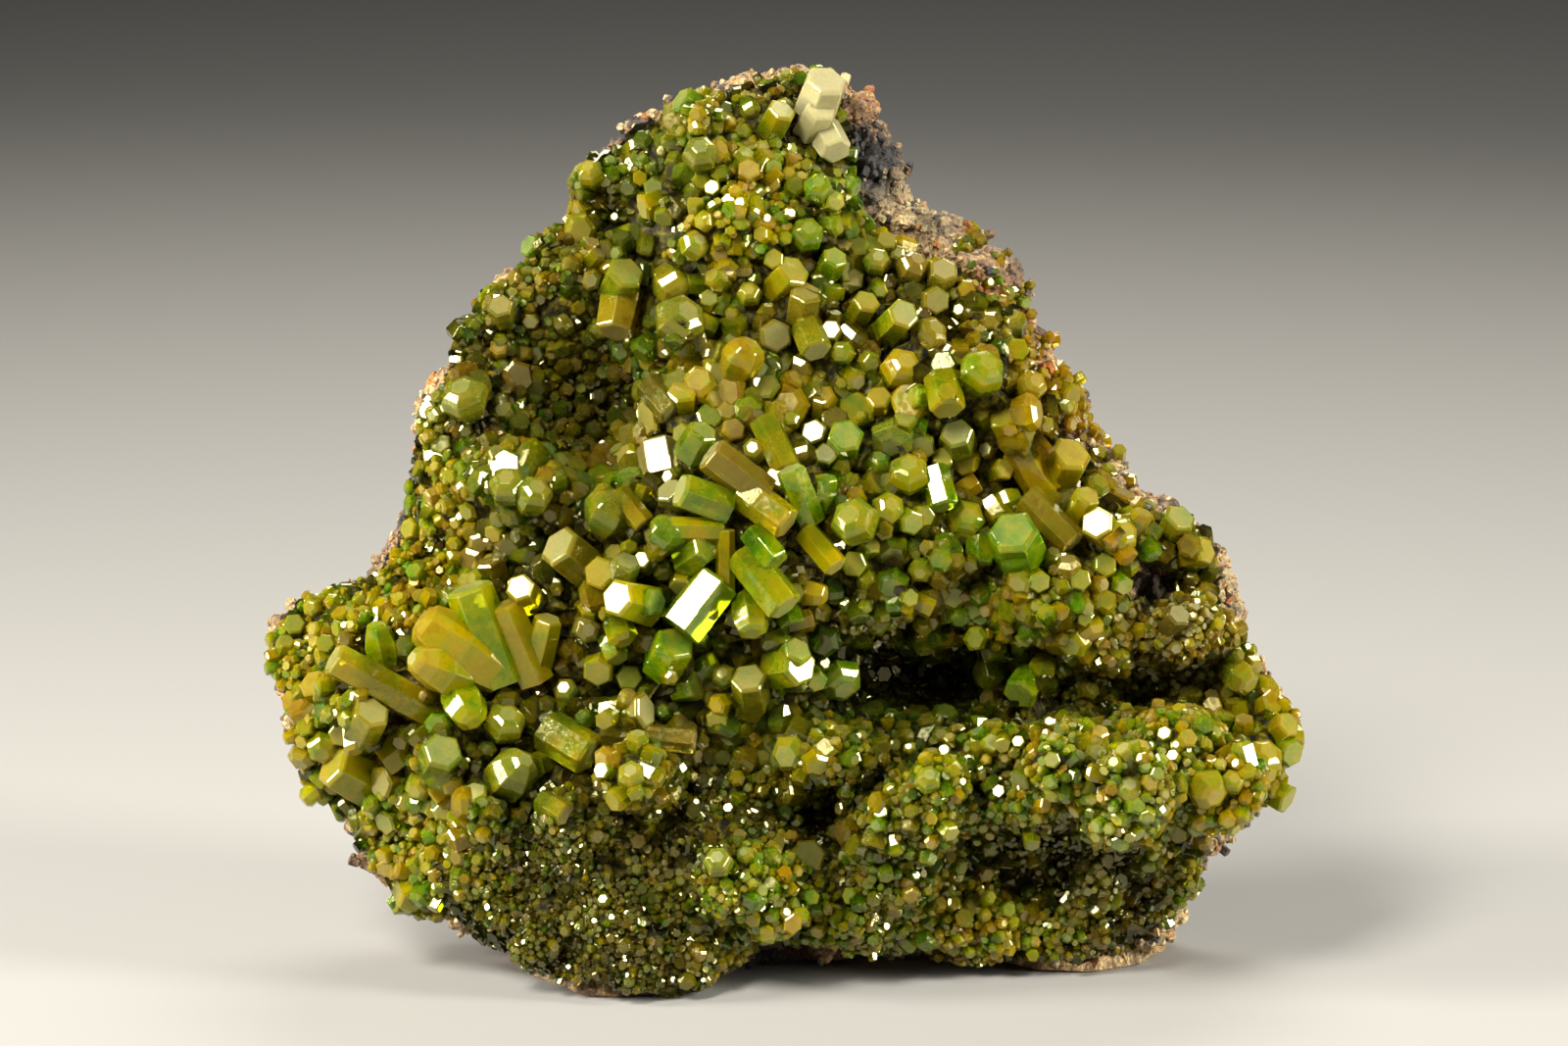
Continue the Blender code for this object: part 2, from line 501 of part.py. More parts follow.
def make_crust(rock, ground, parts, tools, frame):
    """The crust's own skin: a layer on the front of the rock with rounded lumps on it."""
    crust = grown_copy(rock, "crystal_crust", CRUST_THICKNESS, parts)
    crust.hide_render = False
    crust.display_type = "TEXTURED"
    edge = bpy.data.collections.new("crust_edge")
    tools.children.link(edge)
    outline_block("crust_block", CRUST_OUTLINE, CRUST_BACK, CRUST_REACH, edge, frame)
    remeshed(crust, CRUST_VOXEL, 1)
    combined(crust, "INTERSECT", edge)

    forward_at = surface_finder(rock)
    work = bmesh.new()
    work.from_mesh(crust.data)
    for lumps in CRUST_LUMPS.values():
        for across, down, *radii in lumps:
            surface = forward_at(across, down)
            if surface is None:
                surface = CRUST_BACK / 2
            centre = place(across, down, surface + CRUST_THICKNESS - LUMP_SINK)
            add_ellipsoid(work, centre, [r * MM for r in radii], 2)
    work.to_mesh(crust.data)
    work.free()
    remeshed(crust, CRUST_VOXEL, 1)

    forward_at = surface_finder(crust)
    pits = bpy.data.collections.new("crust_pits")
    tools.children.link(pits)
    for number, (across, down, wide, high, deep) in enumerate(CRUST_PITS):
        work = bmesh.new()
        centre = place(across, down, forward_at(across, down))
        add_ellipsoid(work, centre, [wide * MM, high * MM, deep * MM], 3)
        as_object(f"pit_{number}", work, pits, frame, hidden=True)
    combined(crust, "DIFFERENCE", pits)
    remeshed(crust, CRUST_VOXEL, 0)
    clustered(crust, CREASE)
    roughened(crust, CRUST_ROUGHNESS)
    thinned(crust, CRUST_TRIANGLES)
    combined(crust, "DIFFERENCE", ground)
    keep_largest(crust)
    return crust


def make_large_crystals(crust, rock_room, parts, tools, frame):
    """Each large crystal or group as its own object, clear of the rock and of the crystals before it."""
    forward_at = surface_finder(crust)
    rooms = bpy.data.collections.new("crystal_rooms")
    tools.children.link(rooms)
    rooms.objects.link(rock_room)
    made = []
    for name, members in LARGE_CRYSTALS.items():
        forms = [seated(crystal, forward_at) for crystal in members]
        group = []
        for number, (crystal, form) in enumerate(zip(members, forms)):
            work = bmesh.new()
            add_crystal(work, form, crystal[2] * MM, crystal[3] * MM, crystal[7])
            first = number == 0
            group.append(as_object(name if first else f"{name}_{number}", work, parts if first else tools, frame))
        node = group[0]
        if len(group) > 1:
            joined = bpy.data.collections.new(f"{name}_members")
            tools.children.link(joined)
            for member in group[1:]:
                member.hide_render = True
                joined.objects.link(member)
            combined(node, "UNION", joined)
        combined(node, "DIFFERENCE", rooms)
        keep_largest(node)
        made.append(node)
        for number, (crystal, form) in enumerate(zip(members, forms)):
            work = bmesh.new()
            add_prism(work, form, crystal[2] * MM, crystal[3] * MM, crystal[7], GAP)
            as_object(f"{name}_room_{number}", work, rooms, frame, hidden=True)
    return made, rooms


def add_crust_crystals(crust, tools, frame):
    """Fuses the smaller crystals with the crust that they grow from."""
    forward_at = surface_finder(crust)
    grown = bpy.data.collections.new("crust_crystals")
    tools.children.link(grown)
    for region, crystals in CRUST_CRYSTALS.items():
        for number, crystal in enumerate(crystals):
            work = bmesh.new()
            add_prism(work, seated(crystal, forward_at), crystal[2] * MM, crystal[3] * MM)
            as_object(f"{region}_crystal_{number}", work, grown, frame, hidden=True)
    combined(crust, "UNION", grown)


def main():
    clear_scene()
    parts = new_collection("mimetite_specimen")
    tools = new_collection("cutters_and_guides")
    frame = bpy.data.objects.new("sight_frame", None)
    bpy.context.scene.collection.objects.link(frame)
    frame.location = CENTRE_PLACE
    frame.rotation_euler = (math.radians(90) - SIGHT_TILT, 0, 0)
    bpy.context.view_layer.update()

    rock, ground = make_rock(parts, tools, frame)
    rock.data.materials.append(new_material("limonite_rock", ROCK_COLOUR, 0.85))
    rock_room = grown_copy(rock, "rock_room", GAP, tools)

    crust = make_crust(rock, ground, parts, tools, frame)
    large, rooms = make_large_crystals(crust, rock_room, parts, tools, frame)
    add_crust_crystals(crust, tools, frame)
    combined(crust, "DIFFERENCE", rooms)
    keep_largest(crust)
    crust.data.materials.append(new_material("mimetite_crust", CRUST_COLOUR, 0.4))

    crystal_material = new_material("mimetite_crystal", CRYSTAL_COLOUR, 0.25)
    for crystal in large:
        crystal.data.materials.append(crystal_material)


main()
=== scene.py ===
import math

import bmesh
import bpy
import numpy as np
from mathutils import Matrix, Vector, noise
from mathutils.bvhtree import BVHTree


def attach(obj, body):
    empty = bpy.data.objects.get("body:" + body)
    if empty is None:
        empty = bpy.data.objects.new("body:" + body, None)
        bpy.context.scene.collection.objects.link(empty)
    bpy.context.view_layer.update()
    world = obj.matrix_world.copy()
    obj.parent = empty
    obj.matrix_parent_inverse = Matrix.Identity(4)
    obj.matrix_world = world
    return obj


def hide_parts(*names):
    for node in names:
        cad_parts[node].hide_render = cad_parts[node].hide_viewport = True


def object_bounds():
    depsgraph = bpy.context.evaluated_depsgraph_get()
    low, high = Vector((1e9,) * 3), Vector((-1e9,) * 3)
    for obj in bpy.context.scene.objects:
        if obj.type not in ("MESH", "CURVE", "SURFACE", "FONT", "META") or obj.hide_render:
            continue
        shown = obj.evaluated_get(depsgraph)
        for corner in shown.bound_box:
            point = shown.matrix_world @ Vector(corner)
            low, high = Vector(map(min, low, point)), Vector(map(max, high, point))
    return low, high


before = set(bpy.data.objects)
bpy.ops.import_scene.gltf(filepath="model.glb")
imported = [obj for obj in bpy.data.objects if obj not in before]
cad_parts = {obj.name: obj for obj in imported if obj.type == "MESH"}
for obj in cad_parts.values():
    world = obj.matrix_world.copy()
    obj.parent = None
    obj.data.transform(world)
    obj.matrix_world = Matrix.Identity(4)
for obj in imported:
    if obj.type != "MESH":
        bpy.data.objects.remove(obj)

mm = 0.001
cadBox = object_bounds()

# Places are given as they are seen from the front: a pixel, and how far forward of the picture plane.
sight = {
    "pixel": 0.1 * mm,                       # one pixel at the picture plane
    "distance": 600 * mm,                    # from the camera to the picture plane
    "tilt": math.radians(12),                # the camera looks down by this much
    "centre": (800, 533),                    # the pixel in the middle
    "place": Vector((0.1, 2.9, 43.6)) * mm,  # the point that the middle shows
    "lens": 135,
    "sensor": 36,
}
sightTurn = Matrix.Rotation(math.radians(90) - sight["tilt"], 4, "X")
sightFrame = Matrix.Translation(sight["place"]) @ sightTurn
sightBack = sightFrame.inverted()


def seen(across, down, forward=0):
    # the place in the world that a pixel shows
    near = 1 - forward / sight["distance"]
    right = (across - sight["centre"][0]) * sight["pixel"] * near
    up = (sight["centre"][1] - down) * sight["pixel"] * near
    return sightFrame @ Vector((right, up, forward))


def pixelsOf(points):
    # where world points are seen: an array of across, down and forward
    local = points @ np.array(sightBack.to_3x3()).T + np.array(sightBack.translation)
    near = 1 - local[:, 2] / sight["distance"]
    across = sight["centre"][0] + local[:, 0] / near / sight["pixel"]
    down = sight["centre"][1] - local[:, 1] / near / sight["pixel"]
    return np.stack([across, down, local[:, 2]], axis=1)


eye = seen(*sight["centre"], sight["distance"])


def newPiece(name, mesh):
    piece = bpy.data.objects.new(name, mesh)
    bpy.context.scene.collection.objects.link(piece)
    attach(piece, "root")
    return piece


def wholeCopy(node, name):
    # a CAD node's mesh with its triangles joined up
    work = bmesh.new()
    work.from_mesh(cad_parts[node].data)
    bmesh.ops.remove_doubles(work, verts=work.verts, dist=0.003 * mm)
    mesh = bpy.data.meshes.new(name)
    work.to_mesh(mesh)
    work.free()
    return mesh


def treeOf(node):
    work = bmesh.new()
    work.from_mesh(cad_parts[node].data)
    tree = BVHTree.FromBMesh(work)
    work.free()
    return tree


def remeshed(piece, voxel, smoothing):
    # one even skin over the piece, with its corners rounded
    remesh = piece.modifiers.new("oneSkin", "REMESH")
    remesh.mode = "VOXEL"
    remesh.voxel_size = voxel
    smooth = piece.modifiers.new("rounding", "SMOOTH")
    smooth.factor = 0.5
    smooth.iterations = smoothing
    bpy.context.view_layer.update()
    mesh = bpy.data.meshes.new_from_object(piece.evaluated_get(bpy.context.evaluated_depsgraph_get()))
    piece.modifiers.clear()
    piece.data = mesh


def vectorsOf(items, label):
    values = np.zeros(len(items) * 3, np.float32)
    items.foreach_get(label, values)
    return values.reshape(-1, 3).astype(float)


def setValues(mesh, label, kind, values):
    attribute = mesh.attributes.new(label, "FLOAT", kind)
    attribute.data.foreach_set("value", np.asarray(values, np.float32))


def hexColour(code):
    # an sRGB hex value as a linear colour
    parts = [int(code[i:i + 2], 16) / 255 for i in (1, 3, 5)]
    return (*[c / 12.92 if c <= 0.04045 else ((c + 0.055) / 1.055) ** 2.4 for c in parts], 1)


def newMaterial(name):
    material = bpy.data.materials.new(name)
    material.use_nodes = True
    tree = material.node_tree
    return material, tree, tree.nodes["Principled BSDF"]


def addNode(tree, kind, settings=None, links=None):
    # a node with its settings, and its inputs linked from other nodes' sockets or set to values
    node = tree.nodes.new(kind)
    for key, value in (settings or {}).items():
        setattr(node, key, value)
    for key, value in (links or {}).items():
        socket = node.inputs[key]
        if isinstance(value, bpy.types.NodeSocket):
            tree.links.new(value, socket)
        else:
            socket.default_value = value
    return node


def addRamp(tree, factor, stops):
    node = addNode(tree, "ShaderNodeValToRGB", None, {"Fac": factor})
    ramp = node.color_ramp
    ramp.elements.remove(ramp.elements[-1])
    ramp.elements[0].position, ramp.elements[0].color = stops[0]
    for place, colour in stops[1:]:
        ramp.elements.new(place).color = colour
    return node.outputs["Color"]


def addNoise(tree, spot, size, detail=3.0, roughness=0.6):
    node = addNode(tree, "ShaderNodeTexNoise", None,
                   {"Vector": spot, "Scale": 1 / size, "Detail": detail, "Roughness": roughness})
    return node.outputs["Fac"]


def addMix(tree, factor, first, second, blend="MIX"):
    return addNode(tree, "ShaderNodeMix", {"data_type": "RGBA", "blend_type": blend}, {0: factor, 6: first, 7: second}).outputs[2]


def addMaths(tree, operation, first, second, third=0.0):
    return addNode(tree, "ShaderNodeMath", {"operation": operation}, {0: first, 1: second, 2: third}).outputs[0]


def attributeOf(tree, label):
    return addNode(tree, "ShaderNodeAttribute", {"attribute_name": label}).outputs["Fac"]


rockLook = {
    "cream": "#b89a63", "tan": "#866841", "rust": "#a8620f", "brown": "#3f2d1e", "grey": "#1a1512", "pale": "#c9b583",
    "black": "#120f0d", "roughness": 0.58, "grain": 0.45 * mm, "blotch": 2.4 * mm, "patch": 11 * mm,
}


def limoniteRock():
    # porous limonite and quartz: dull, mottled in cream, tan, rust and brown by the millimetre, with
    # grey-black iron oxide and rusty stains where their attributes say
    look = rockLook
    material, tree, shader = newMaterial("limoniteGossan")
    spot = addNode(tree, "ShaderNodeTexCoord").outputs["Object"]
    patch = addNoise(tree, spot, look["patch"], 4.0)
    blotch = addNoise(tree, spot, look["blotch"], 5.0, 0.7)
    tone = addMaths(tree, "MULTIPLY_ADD", patch, 0.55, addMaths(tree, "MULTIPLY", blotch, 0.45))
    ground = addRamp(tree, tone, [
        (0.36, hexColour(look["black"])), (0.43, hexColour(look["brown"])), (0.48, hexColour(look["tan"])),
        (0.53, hexColour(look["cream"])), (0.57, hexColour(look["tan"])), (0.61, hexColour(look["rust"])),
        (0.67, hexColour(look["brown"])),
    ])
    creamed = addMix(tree, attributeOf(tree, "cream"), ground, hexColour(look["pale"]))
    rusted = addMix(tree, attributeOf(tree, "rust"), creamed, hexColour(look["rust"]))
    darkened = addMix(tree, attributeOf(tree, "gossan"), rusted, hexColour(look["grey"]))
    grain = addNoise(tree, spot, look["grain"], 4.0, 0.7)
    speck = addRamp(tree, grain, [(0.36, (0.2, 0.18, 0.17, 1)), (0.5, (0.8, 0.8, 0.8, 1)), (0.64, (1.6, 1.5, 1.25, 1))])
    tree.links.new(addMix(tree, 0.9, darkened, speck, "MULTIPLY"), shader.inputs["Base Color"])
    shader.inputs["Roughness"].default_value = look["roughness"]
    shader.inputs["IOR"].default_value = 1.6
    bump = addNode(tree, "ShaderNodeBump", None, {"Height": grain, "Strength": 0.9, "Distance": 0.3 * mm})
    tree.links.new(bump.outputs["Normal"], shader.inputs["Normal"])
    return material


# root is the colour of the painted shade towards the roots and in crevices
mimetiteLook = {
    "deep": "#3c5c00", "green": "#70a801", "lime": "#b6bc01", "yellow": "#dcc001", "gold": "#c99c02",
    "pale": "#a9a87c", "cream": "#e6d8a8", "tan": "#7a6828", "root": "#120e02", "roughness": 0.05, "clear": 0.72, "glow": 0.4, "glowReach": 1.3 * mm,
    "lustre": (1.0, 0.96, 0.52, 1), "milk": 0.5,
}


def mimetite():
    # mimetite, lead chloride arsenate: a resinous lustre near that of diamond, and light goes some way
    # in; the end faces and edges painted pale as sheen and duller, cream where milky, and painted shade darkens it
    # towards the root and in crevices
    look = mimetiteLook
    material, tree, shader = newMaterial("mimetite")
    spot = addNode(tree, "ShaderNodeTexCoord").outputs["Object"]
    rise = attributeOf(tree, "rise")
    cloud = addNoise(tree, spot, 1.9 * mm)
    lift = addMaths(tree, "MULTIPLY_ADD", rise, 0.2, addMaths(tree, "MULTIPLY_ADD", cloud, 1.0, -0.6))
    body = addRamp(tree, addMaths(tree, "ADD", attributeOf(tree, "tint"), lift), [
        (0.0, hexColour(look["deep"])), (0.25, hexColour(look["green"])), (0.5, hexColour(look["lime"])),
        (0.75, hexColour(look["yellow"])), (1.0, hexColour(look["gold"])),
    ])
    greyed = addMix(tree, attributeOf(tree, "grey"), body, hexColour(look["tan"]))
    # pale is painted sheen on the ends and edges; cream where a crystal is milky
    milk = addRamp(tree, attributeOf(tree, "sheenAndMilk"), [(0.8, hexColour(look["pale"])), (1.0, hexColour(look["cream"]))])
    capped = addMix(tree, attributeOf(tree, "sheenAndMilk"), greyed, milk)
    # painted shade: darker towards the root, down to the root colour, times each crystal's painted shade
    depth = addNode(tree, "ShaderNodeMapRange", {"interpolation_type": "SMOOTHSTEP"},
                    {"Value": rise, "From Min": 0.0, "From Max": 0.8, "To Min": 0.12, "To Max": 1.0}).outputs[0]
    paintedShading = addMaths(tree, "MULTIPLY", depth, attributeOf(tree, "paintedShade"))
    flecks = addRamp(tree, addNoise(tree, spot, 0.35 * mm, 4.0, 0.7), [(0.36, (0.45, 0.5, 0.5, 1)), (0.5, (0.9, 0.9, 0.9, 1)), (0.62, (1.25, 1.2, 1.1, 1))])
    flecked = addMix(tree, 0.2, capped, flecks, "MULTIPLY")
    tree.links.new(addMix(tree, paintedShading, hexColour(look["root"]), flecked), shader.inputs["Base Color"])
    film = addNoise(tree, spot, 0.5 * mm)
    gloss = addNode(tree, "ShaderNodeMapRange", None,
                    {"Value": film, "From Min": 0.35, "From Max": 0.7, "To Min": look["roughness"], "To Max": look["roughness"] + 0.14})
    tree.links.new(gloss.outputs[0], shader.inputs["Roughness"])
    shader.inputs["IOR"].default_value = 1.65
    milky = addMaths(tree, "MULTIPLY_ADD", attributeOf(tree, "sheenAndMilk"), -look["clear"] * look["milk"], look["clear"])
    tree.links.new(milky, shader.inputs["Transmission Weight"])
    shader.inputs["Specular Tint"].default_value = look["lustre"]
    shader.inputs["Subsurface Weight"].default_value = look["glow"]
    shader.inputs["Subsurface Scale"].default_value = look["glowReach"]
    shader.inputs["Subsurface Radius"].default_value = (0.9, 1.0, 0.1)
    bump = addNode(tree, "ShaderNodeBump", None, {"Height": film, "Strength": 0.15, "Distance": 0.06 * mm})
    tree.links.new(bump.outputs["Normal"], shader.inputs["Normal"])
    return material


def druseGround():
    # the massive, dull base of the crust, dark olive to black: its own colour in the bare patches, and painted shade
    # between the crystals
    material, tree, shader = newMaterial("massiveMimetiteAndShade")
    spot = addNode(tree, "ShaderNodeTexCoord").outputs["Object"]
    mottle = addRamp(tree, addNoise(tree, spot, 0.9 * mm, 4.0), [(0.38, hexColour("#0b0a03")), (0.52, hexColour("#332e04")), (0.68, hexColour("#5f5a08"))])
    tree.links.new(mottle, shader.inputs["Base Color"])
    shader.inputs["Roughness"].default_value = 0.6
    shader.inputs["Specular IOR Level"].default_value = 0.1
    return material


rockMaterial = limoniteRock()
crystalMaterial = mimetite()
groundMaterial = druseGround()
print("materials made")

# Rounded clusters meet in creases, as on the CAD crust; bunches are the smaller ones on them.
cluster = {"size": 7.5, "sway": 1.5, "line": 0.34, "bunch": 3.0}


def clusterAt(spot):
    # for a place in mm, 1 in a crease and 0 elsewhere, and 1 on top of a cluster and 0 round it
    sway = Vector((noise.noise(spot / 5), noise.noise(spot / 5 + Vector((9, 0, 0))), 0))
    near, far = noise.voronoi((spot + sway * cluster["sway"]) / cluster["size"])[0][:2]
    return (1 - min(1.0, (far - near) / cluster["line"])) ** 2, max(0.0, 1 - (near / 0.62) ** 2)


def bunchAt(spot):
    near = noise.voronoi(spot / cluster["bunch"])[0][0]
    return min(1.0, near / 0.7) ** 2


# stains as they are seen: across, down, reach in pixels, strength
rock = {
    "voxel": 0.6 * mm, "broad": 0.7, "ridge": 0.8, "grit": 0.5, "crease": 1.2, "underCrust": 1.0, "rim": 14 * mm,
    "stains": {
        "gossan": [(888, 160, 55, 1.3), (960, 215, 35, 0.9), (1050, 265, 40, 0.7), (780, 985, 60, 0.9), (1190, 590, 50, 0.8), (375, 580, 30, 0.6), (640, 890, 60, 0.6), (500, 130, 40, 0.7)],
        "rust": [(1010, 330, 60, 0.9), (1075, 420, 45, 0.9), (895, 100, 40, 0.7), (640, 400, 70, 0.5), (860, 130, 30, 0.6), (1000, 210, 30, 0.5)],
        "cream": [(925, 205, 30, 0.9), (1000, 260, 70, 0.5), (1110, 480, 50, 0.7), (940, 190, 60, 0.5), (1240, 640, 60, 0.6), (590, 380, 70, 0.35), (330, 700, 50, 0.5), (1180, 930, 60, 0.5), (850, 90, 40, 0.6)],
    },
}


def stainsAt(places):
    stains = {}
    for label, spots in rock["stains"].items():
        table = np.array(spots)
        away = ((places[:, None, :2] - table[None, :, :2]) ** 2).sum(axis=2)
        stains[label] = (table[:, 3] * np.exp(-away / table[:, 2] ** 2)).max(axis=1) * np.clip(1 + places[:, 2] / rock["rim"], 0, 1)
    return stains


def makeRock():
    piece = newPiece("rockMatrix", wholeCopy("matrix", "rockMatrix"))
    remeshed(piece, rock["voxel"], 2)
    mesh = piece.data
    points, normals = vectorsOf(mesh.vertices, "co"), vectorsOf(mesh.vertex_normals, "vector")
    crustCad = treeOf("crystal_crust")
    for index, point in enumerate(points):
        spot = Vector(point / mm)
        toEye = (eye - Vector(point)).normalized()
        covered = crustCad.ray_cast(Vector(point) + toEye * 0.05 * mm, toEye)[0] is not None
        if spot.z > 0.4:
            broad = noise.fractal(spot / 4.5, 1.0, 2.0, 2)
            ridge = 1 - 2.4 * abs(noise.noise(spot / 3.4 + Vector((0, 9, 3))))
            grit = noise.fractal(spot / 1.2 + Vector((7, 0, 0)), 0.8, 2.0, 3)
            out = rock["broad"] * broad + rock["ridge"] * (ridge - 0.7) + rock["grit"] * grit - rock["crease"] * clusterAt(spot)[0]
            points[index] += normals[index] * (min(out, 0.6) - covered * rock["underCrust"]) * mm
    points[:, 2] = np.maximum(points[:, 2], 0)
    mesh.vertices.foreach_set("co", points.astype(np.float32).ravel())
    mesh.update()
    for label, amounts in stainsAt(pixelsOf(points)).items():
        setValues(mesh, label, "POINT", amounts)
    mesh.materials.append(rockMaterial)
    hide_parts("matrix")
    return piece


rockPiece = makeRock()
rockTree = BVHTree.FromObject(rockPiece, bpy.context.evaluated_depsgraph_get())
print("rock:", len(rockPiece.data.polygons), "faces")

# the dark ground that the small crystals stand on; depths in mm
crust = {
    "voxel": 0.65 * mm, "sink": 0.4, "lump": 0.35, "crease": 1.9, "dome": 1.1, "bunch": 0.7, "most": 0.6, "gap": 2.2, "lobe": 1.25,
    # clusters that stand out: across, down, reach in pixels, height in mm
    "lobes": [
        (1150, 812, 52, 2.0), (972, 814, 38, 1.8), (906, 850, 30, 1.5), (1200, 748, 34, 1.6), (1272, 772, 34, 1.2), (834, 762, 34, 1.8),
        (772, 896, 42, 2.2), (1008, 950, 36, 1.5), (1116, 905, 30, 1.2), (1190, 898, 30, 1.4), (936, 892, 26, 1.2), (656, 796, 32, 1.5),
        (584, 850, 34, 1.5), (876, 826, 26, 1.2), (1075, 770, 30, 1.4), (1225, 640, 40, 1.2), (1190, 650, 45, 1.6), (1075, 600, 34, 1.2), (965, 545, 34, 1.0),
        (650, 985, 30, 1.0), (560, 945, 30, 1.0), (790, 650, 26, 1.2), (690, 695, 26, 1.2), (620, 745, 26, 1.0), (450, 790, 36, 1.2),
    ],
    # gaps between them, sunk into the ground, with painted shade on their crystals: across, down, reach, darkness
    "gaps": [
        (860, 665, 34, 0.9), (905, 700, 40, 0.95), (960, 708, 36, 0.95), (1015, 695, 24, 0.8), (1070, 722, 26, 0.8), (1122, 724, 20, 0.7),
        (888, 796, 15, 0.8), (1020, 868, 22, 0.95), (1085, 872, 18, 0.8), (1140, 880, 16, 0.7), (840, 850, 26, 0.95), (1050, 905, 14, 0.8),
        (978, 925, 16, 0.8), (784, 828, 22, 0.8), (715, 800, 18, 0.7), (692, 835, 16, 0.6), (580, 912, 18, 0.8), (620, 988, 16, 0.9),
        (684, 992, 16, 0.9), (632, 884, 13, 0.9), (1195, 590, 26, 0.95), (672, 631, 13, 0.9), (600, 704, 20, 0.7), (745, 655, 14, 0.7),
        (668, 527, 12, 0.7), (603, 530, 16, 0.6), (592, 440, 30, 0.6), (640, 390, 30, 0.4), (810, 540, 8, 0.8), (540, 700, 12, 0.8),
        (968, 337, 14, 0.9), (1010, 350, 14, 0.7), (500, 655, 10, 0.4), (870, 290, 10, 0.5), (745, 270, 10, 0.4), (930, 760, 14, 0.7), (1008, 800, 12, 0.7), (1088, 835, 14, 0.7), (930, 845, 12, 0.7), (850, 905, 14, 0.7), (676, 128, 12, 0.8),
        (670, 160, 12, 0.8), (1050, 735, 14, 0.7), (1160, 860, 12, 0.8), (735, 850, 12, 0.7), (640, 840, 12, 0.7), (540, 850, 10, 0.7),
    ],
}


def humpsAt(places, humps):
    # the sum of rounded humps at each place
    table = np.array(humps)
    away = ((places[:, None, :2] - table[None, :, :2]) ** 2).sum(axis=2)
    return (table[:, 3] * np.exp(-away / table[:, 2] ** 2)).sum(axis=1)


toFront = np.array(sightTurn.to_3x3() @ Vector((0, 0, 1)))


def makeCrust():
    piece = newPiece("crustGround", wholeCopy("crystal_crust", "crustGround"))
    remeshed(piece, crust["voxel"], 3)
    mesh = piece.data
    points, normals = vectorsOf(mesh.vertices, "co"), vectorsOf(mesh.vertex_normals, "vector")
    places = pixelsOf(points)
    lobes, gaps = humpsAt(places, crust["lobes"]), humpsAt(places, crust["gaps"])
    tree = BVHTree.FromObject(piece, bpy.context.evaluated_depsgraph_get())
    for index, point in enumerate(points):
        spot = Vector(point / mm)
        crease, top = clusterAt(spot)
        low = min(1.0, max(0.25, (places[index][1] - 600) / 120))  # the clusters stand out more low down
        depth = crust["sink"] + crust["crease"] * crease - crust["dome"] * low * top + crust["bunch"] * bunchAt(spot)
        depth += crust["gap"] * gaps[index] - crust["lobe"] * lobes[index] * (normals[index] @ toFront > 0)
        depth -= crust["lump"] * noise.fractal(spot / 2.2, 1.0, 2.0, 2)
        # never more than a share of the crust's own thickness, so that it keeps its two sides
        inward = -Vector(normals[index])
        thick = tree.ray_cast(Vector(point) + inward * 0.02 * mm, inward)[3]
        points[index] -= normals[index] * min(depth, crust["most"] * (thick or 0) / mm) * mm
    points[:, 1:] = np.maximum(points[:, 1:], (cadBox[0][1] + 0.3 * mm, 0.1 * mm))  # leaves room for the crystals
    mesh.vertices.foreach_set("co", points.astype(np.float32).ravel())
    mesh.update()
    mesh.materials.append(groundMaterial)
    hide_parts("crystal_crust")
    return piece


crustPiece = makeCrust()
crustTree = BVHTree.FromObject(crustPiece, bpy.context.evaluated_depsgraph_get())
print("crust:", len(crustPiece.data.polygons), "faces")

# Crystal forms, 1 in radius and 2 long from a root at 0: the rings' heights and radii, the width of
# the slanting faces round the end, and of the worn edges.
forms = {
    "fine": {"rings": [(0, 0.97), (0.7, 1.0), (1.4, 1.0), (2, 0.98)], "crown": 0.13, "edge": 0.04},
    "fineBarrel": {"rings": [(0, 0.76), (0.5, 1.03), (1.0, 1.18), (1.5, 1.08), (2, 0.76)], "crown": 0.2, "edge": 0.045},
    "prism": {"rings": [(0, 0.94), (2, 1.0)], "crown": 0.14, "edge": 0},
    "barrel": {"rings": [(0, 0.8), (1.2, 1.05), (2, 0.84)], "crown": 0.2, "edge": 0},
    "blunt": {"rings": [(0, 0.94), (2, 1.0)], "crown": 0.34, "edge": 0},
    "small": {"rings": [(0, 0.85), (1.4, 1.0), (2, 0.78)], "crown": 0, "edge": 0},
    "plain": {"rings": [(0, 0.9), (2, 1.0)], "crown": 0, "edge": 0},
}


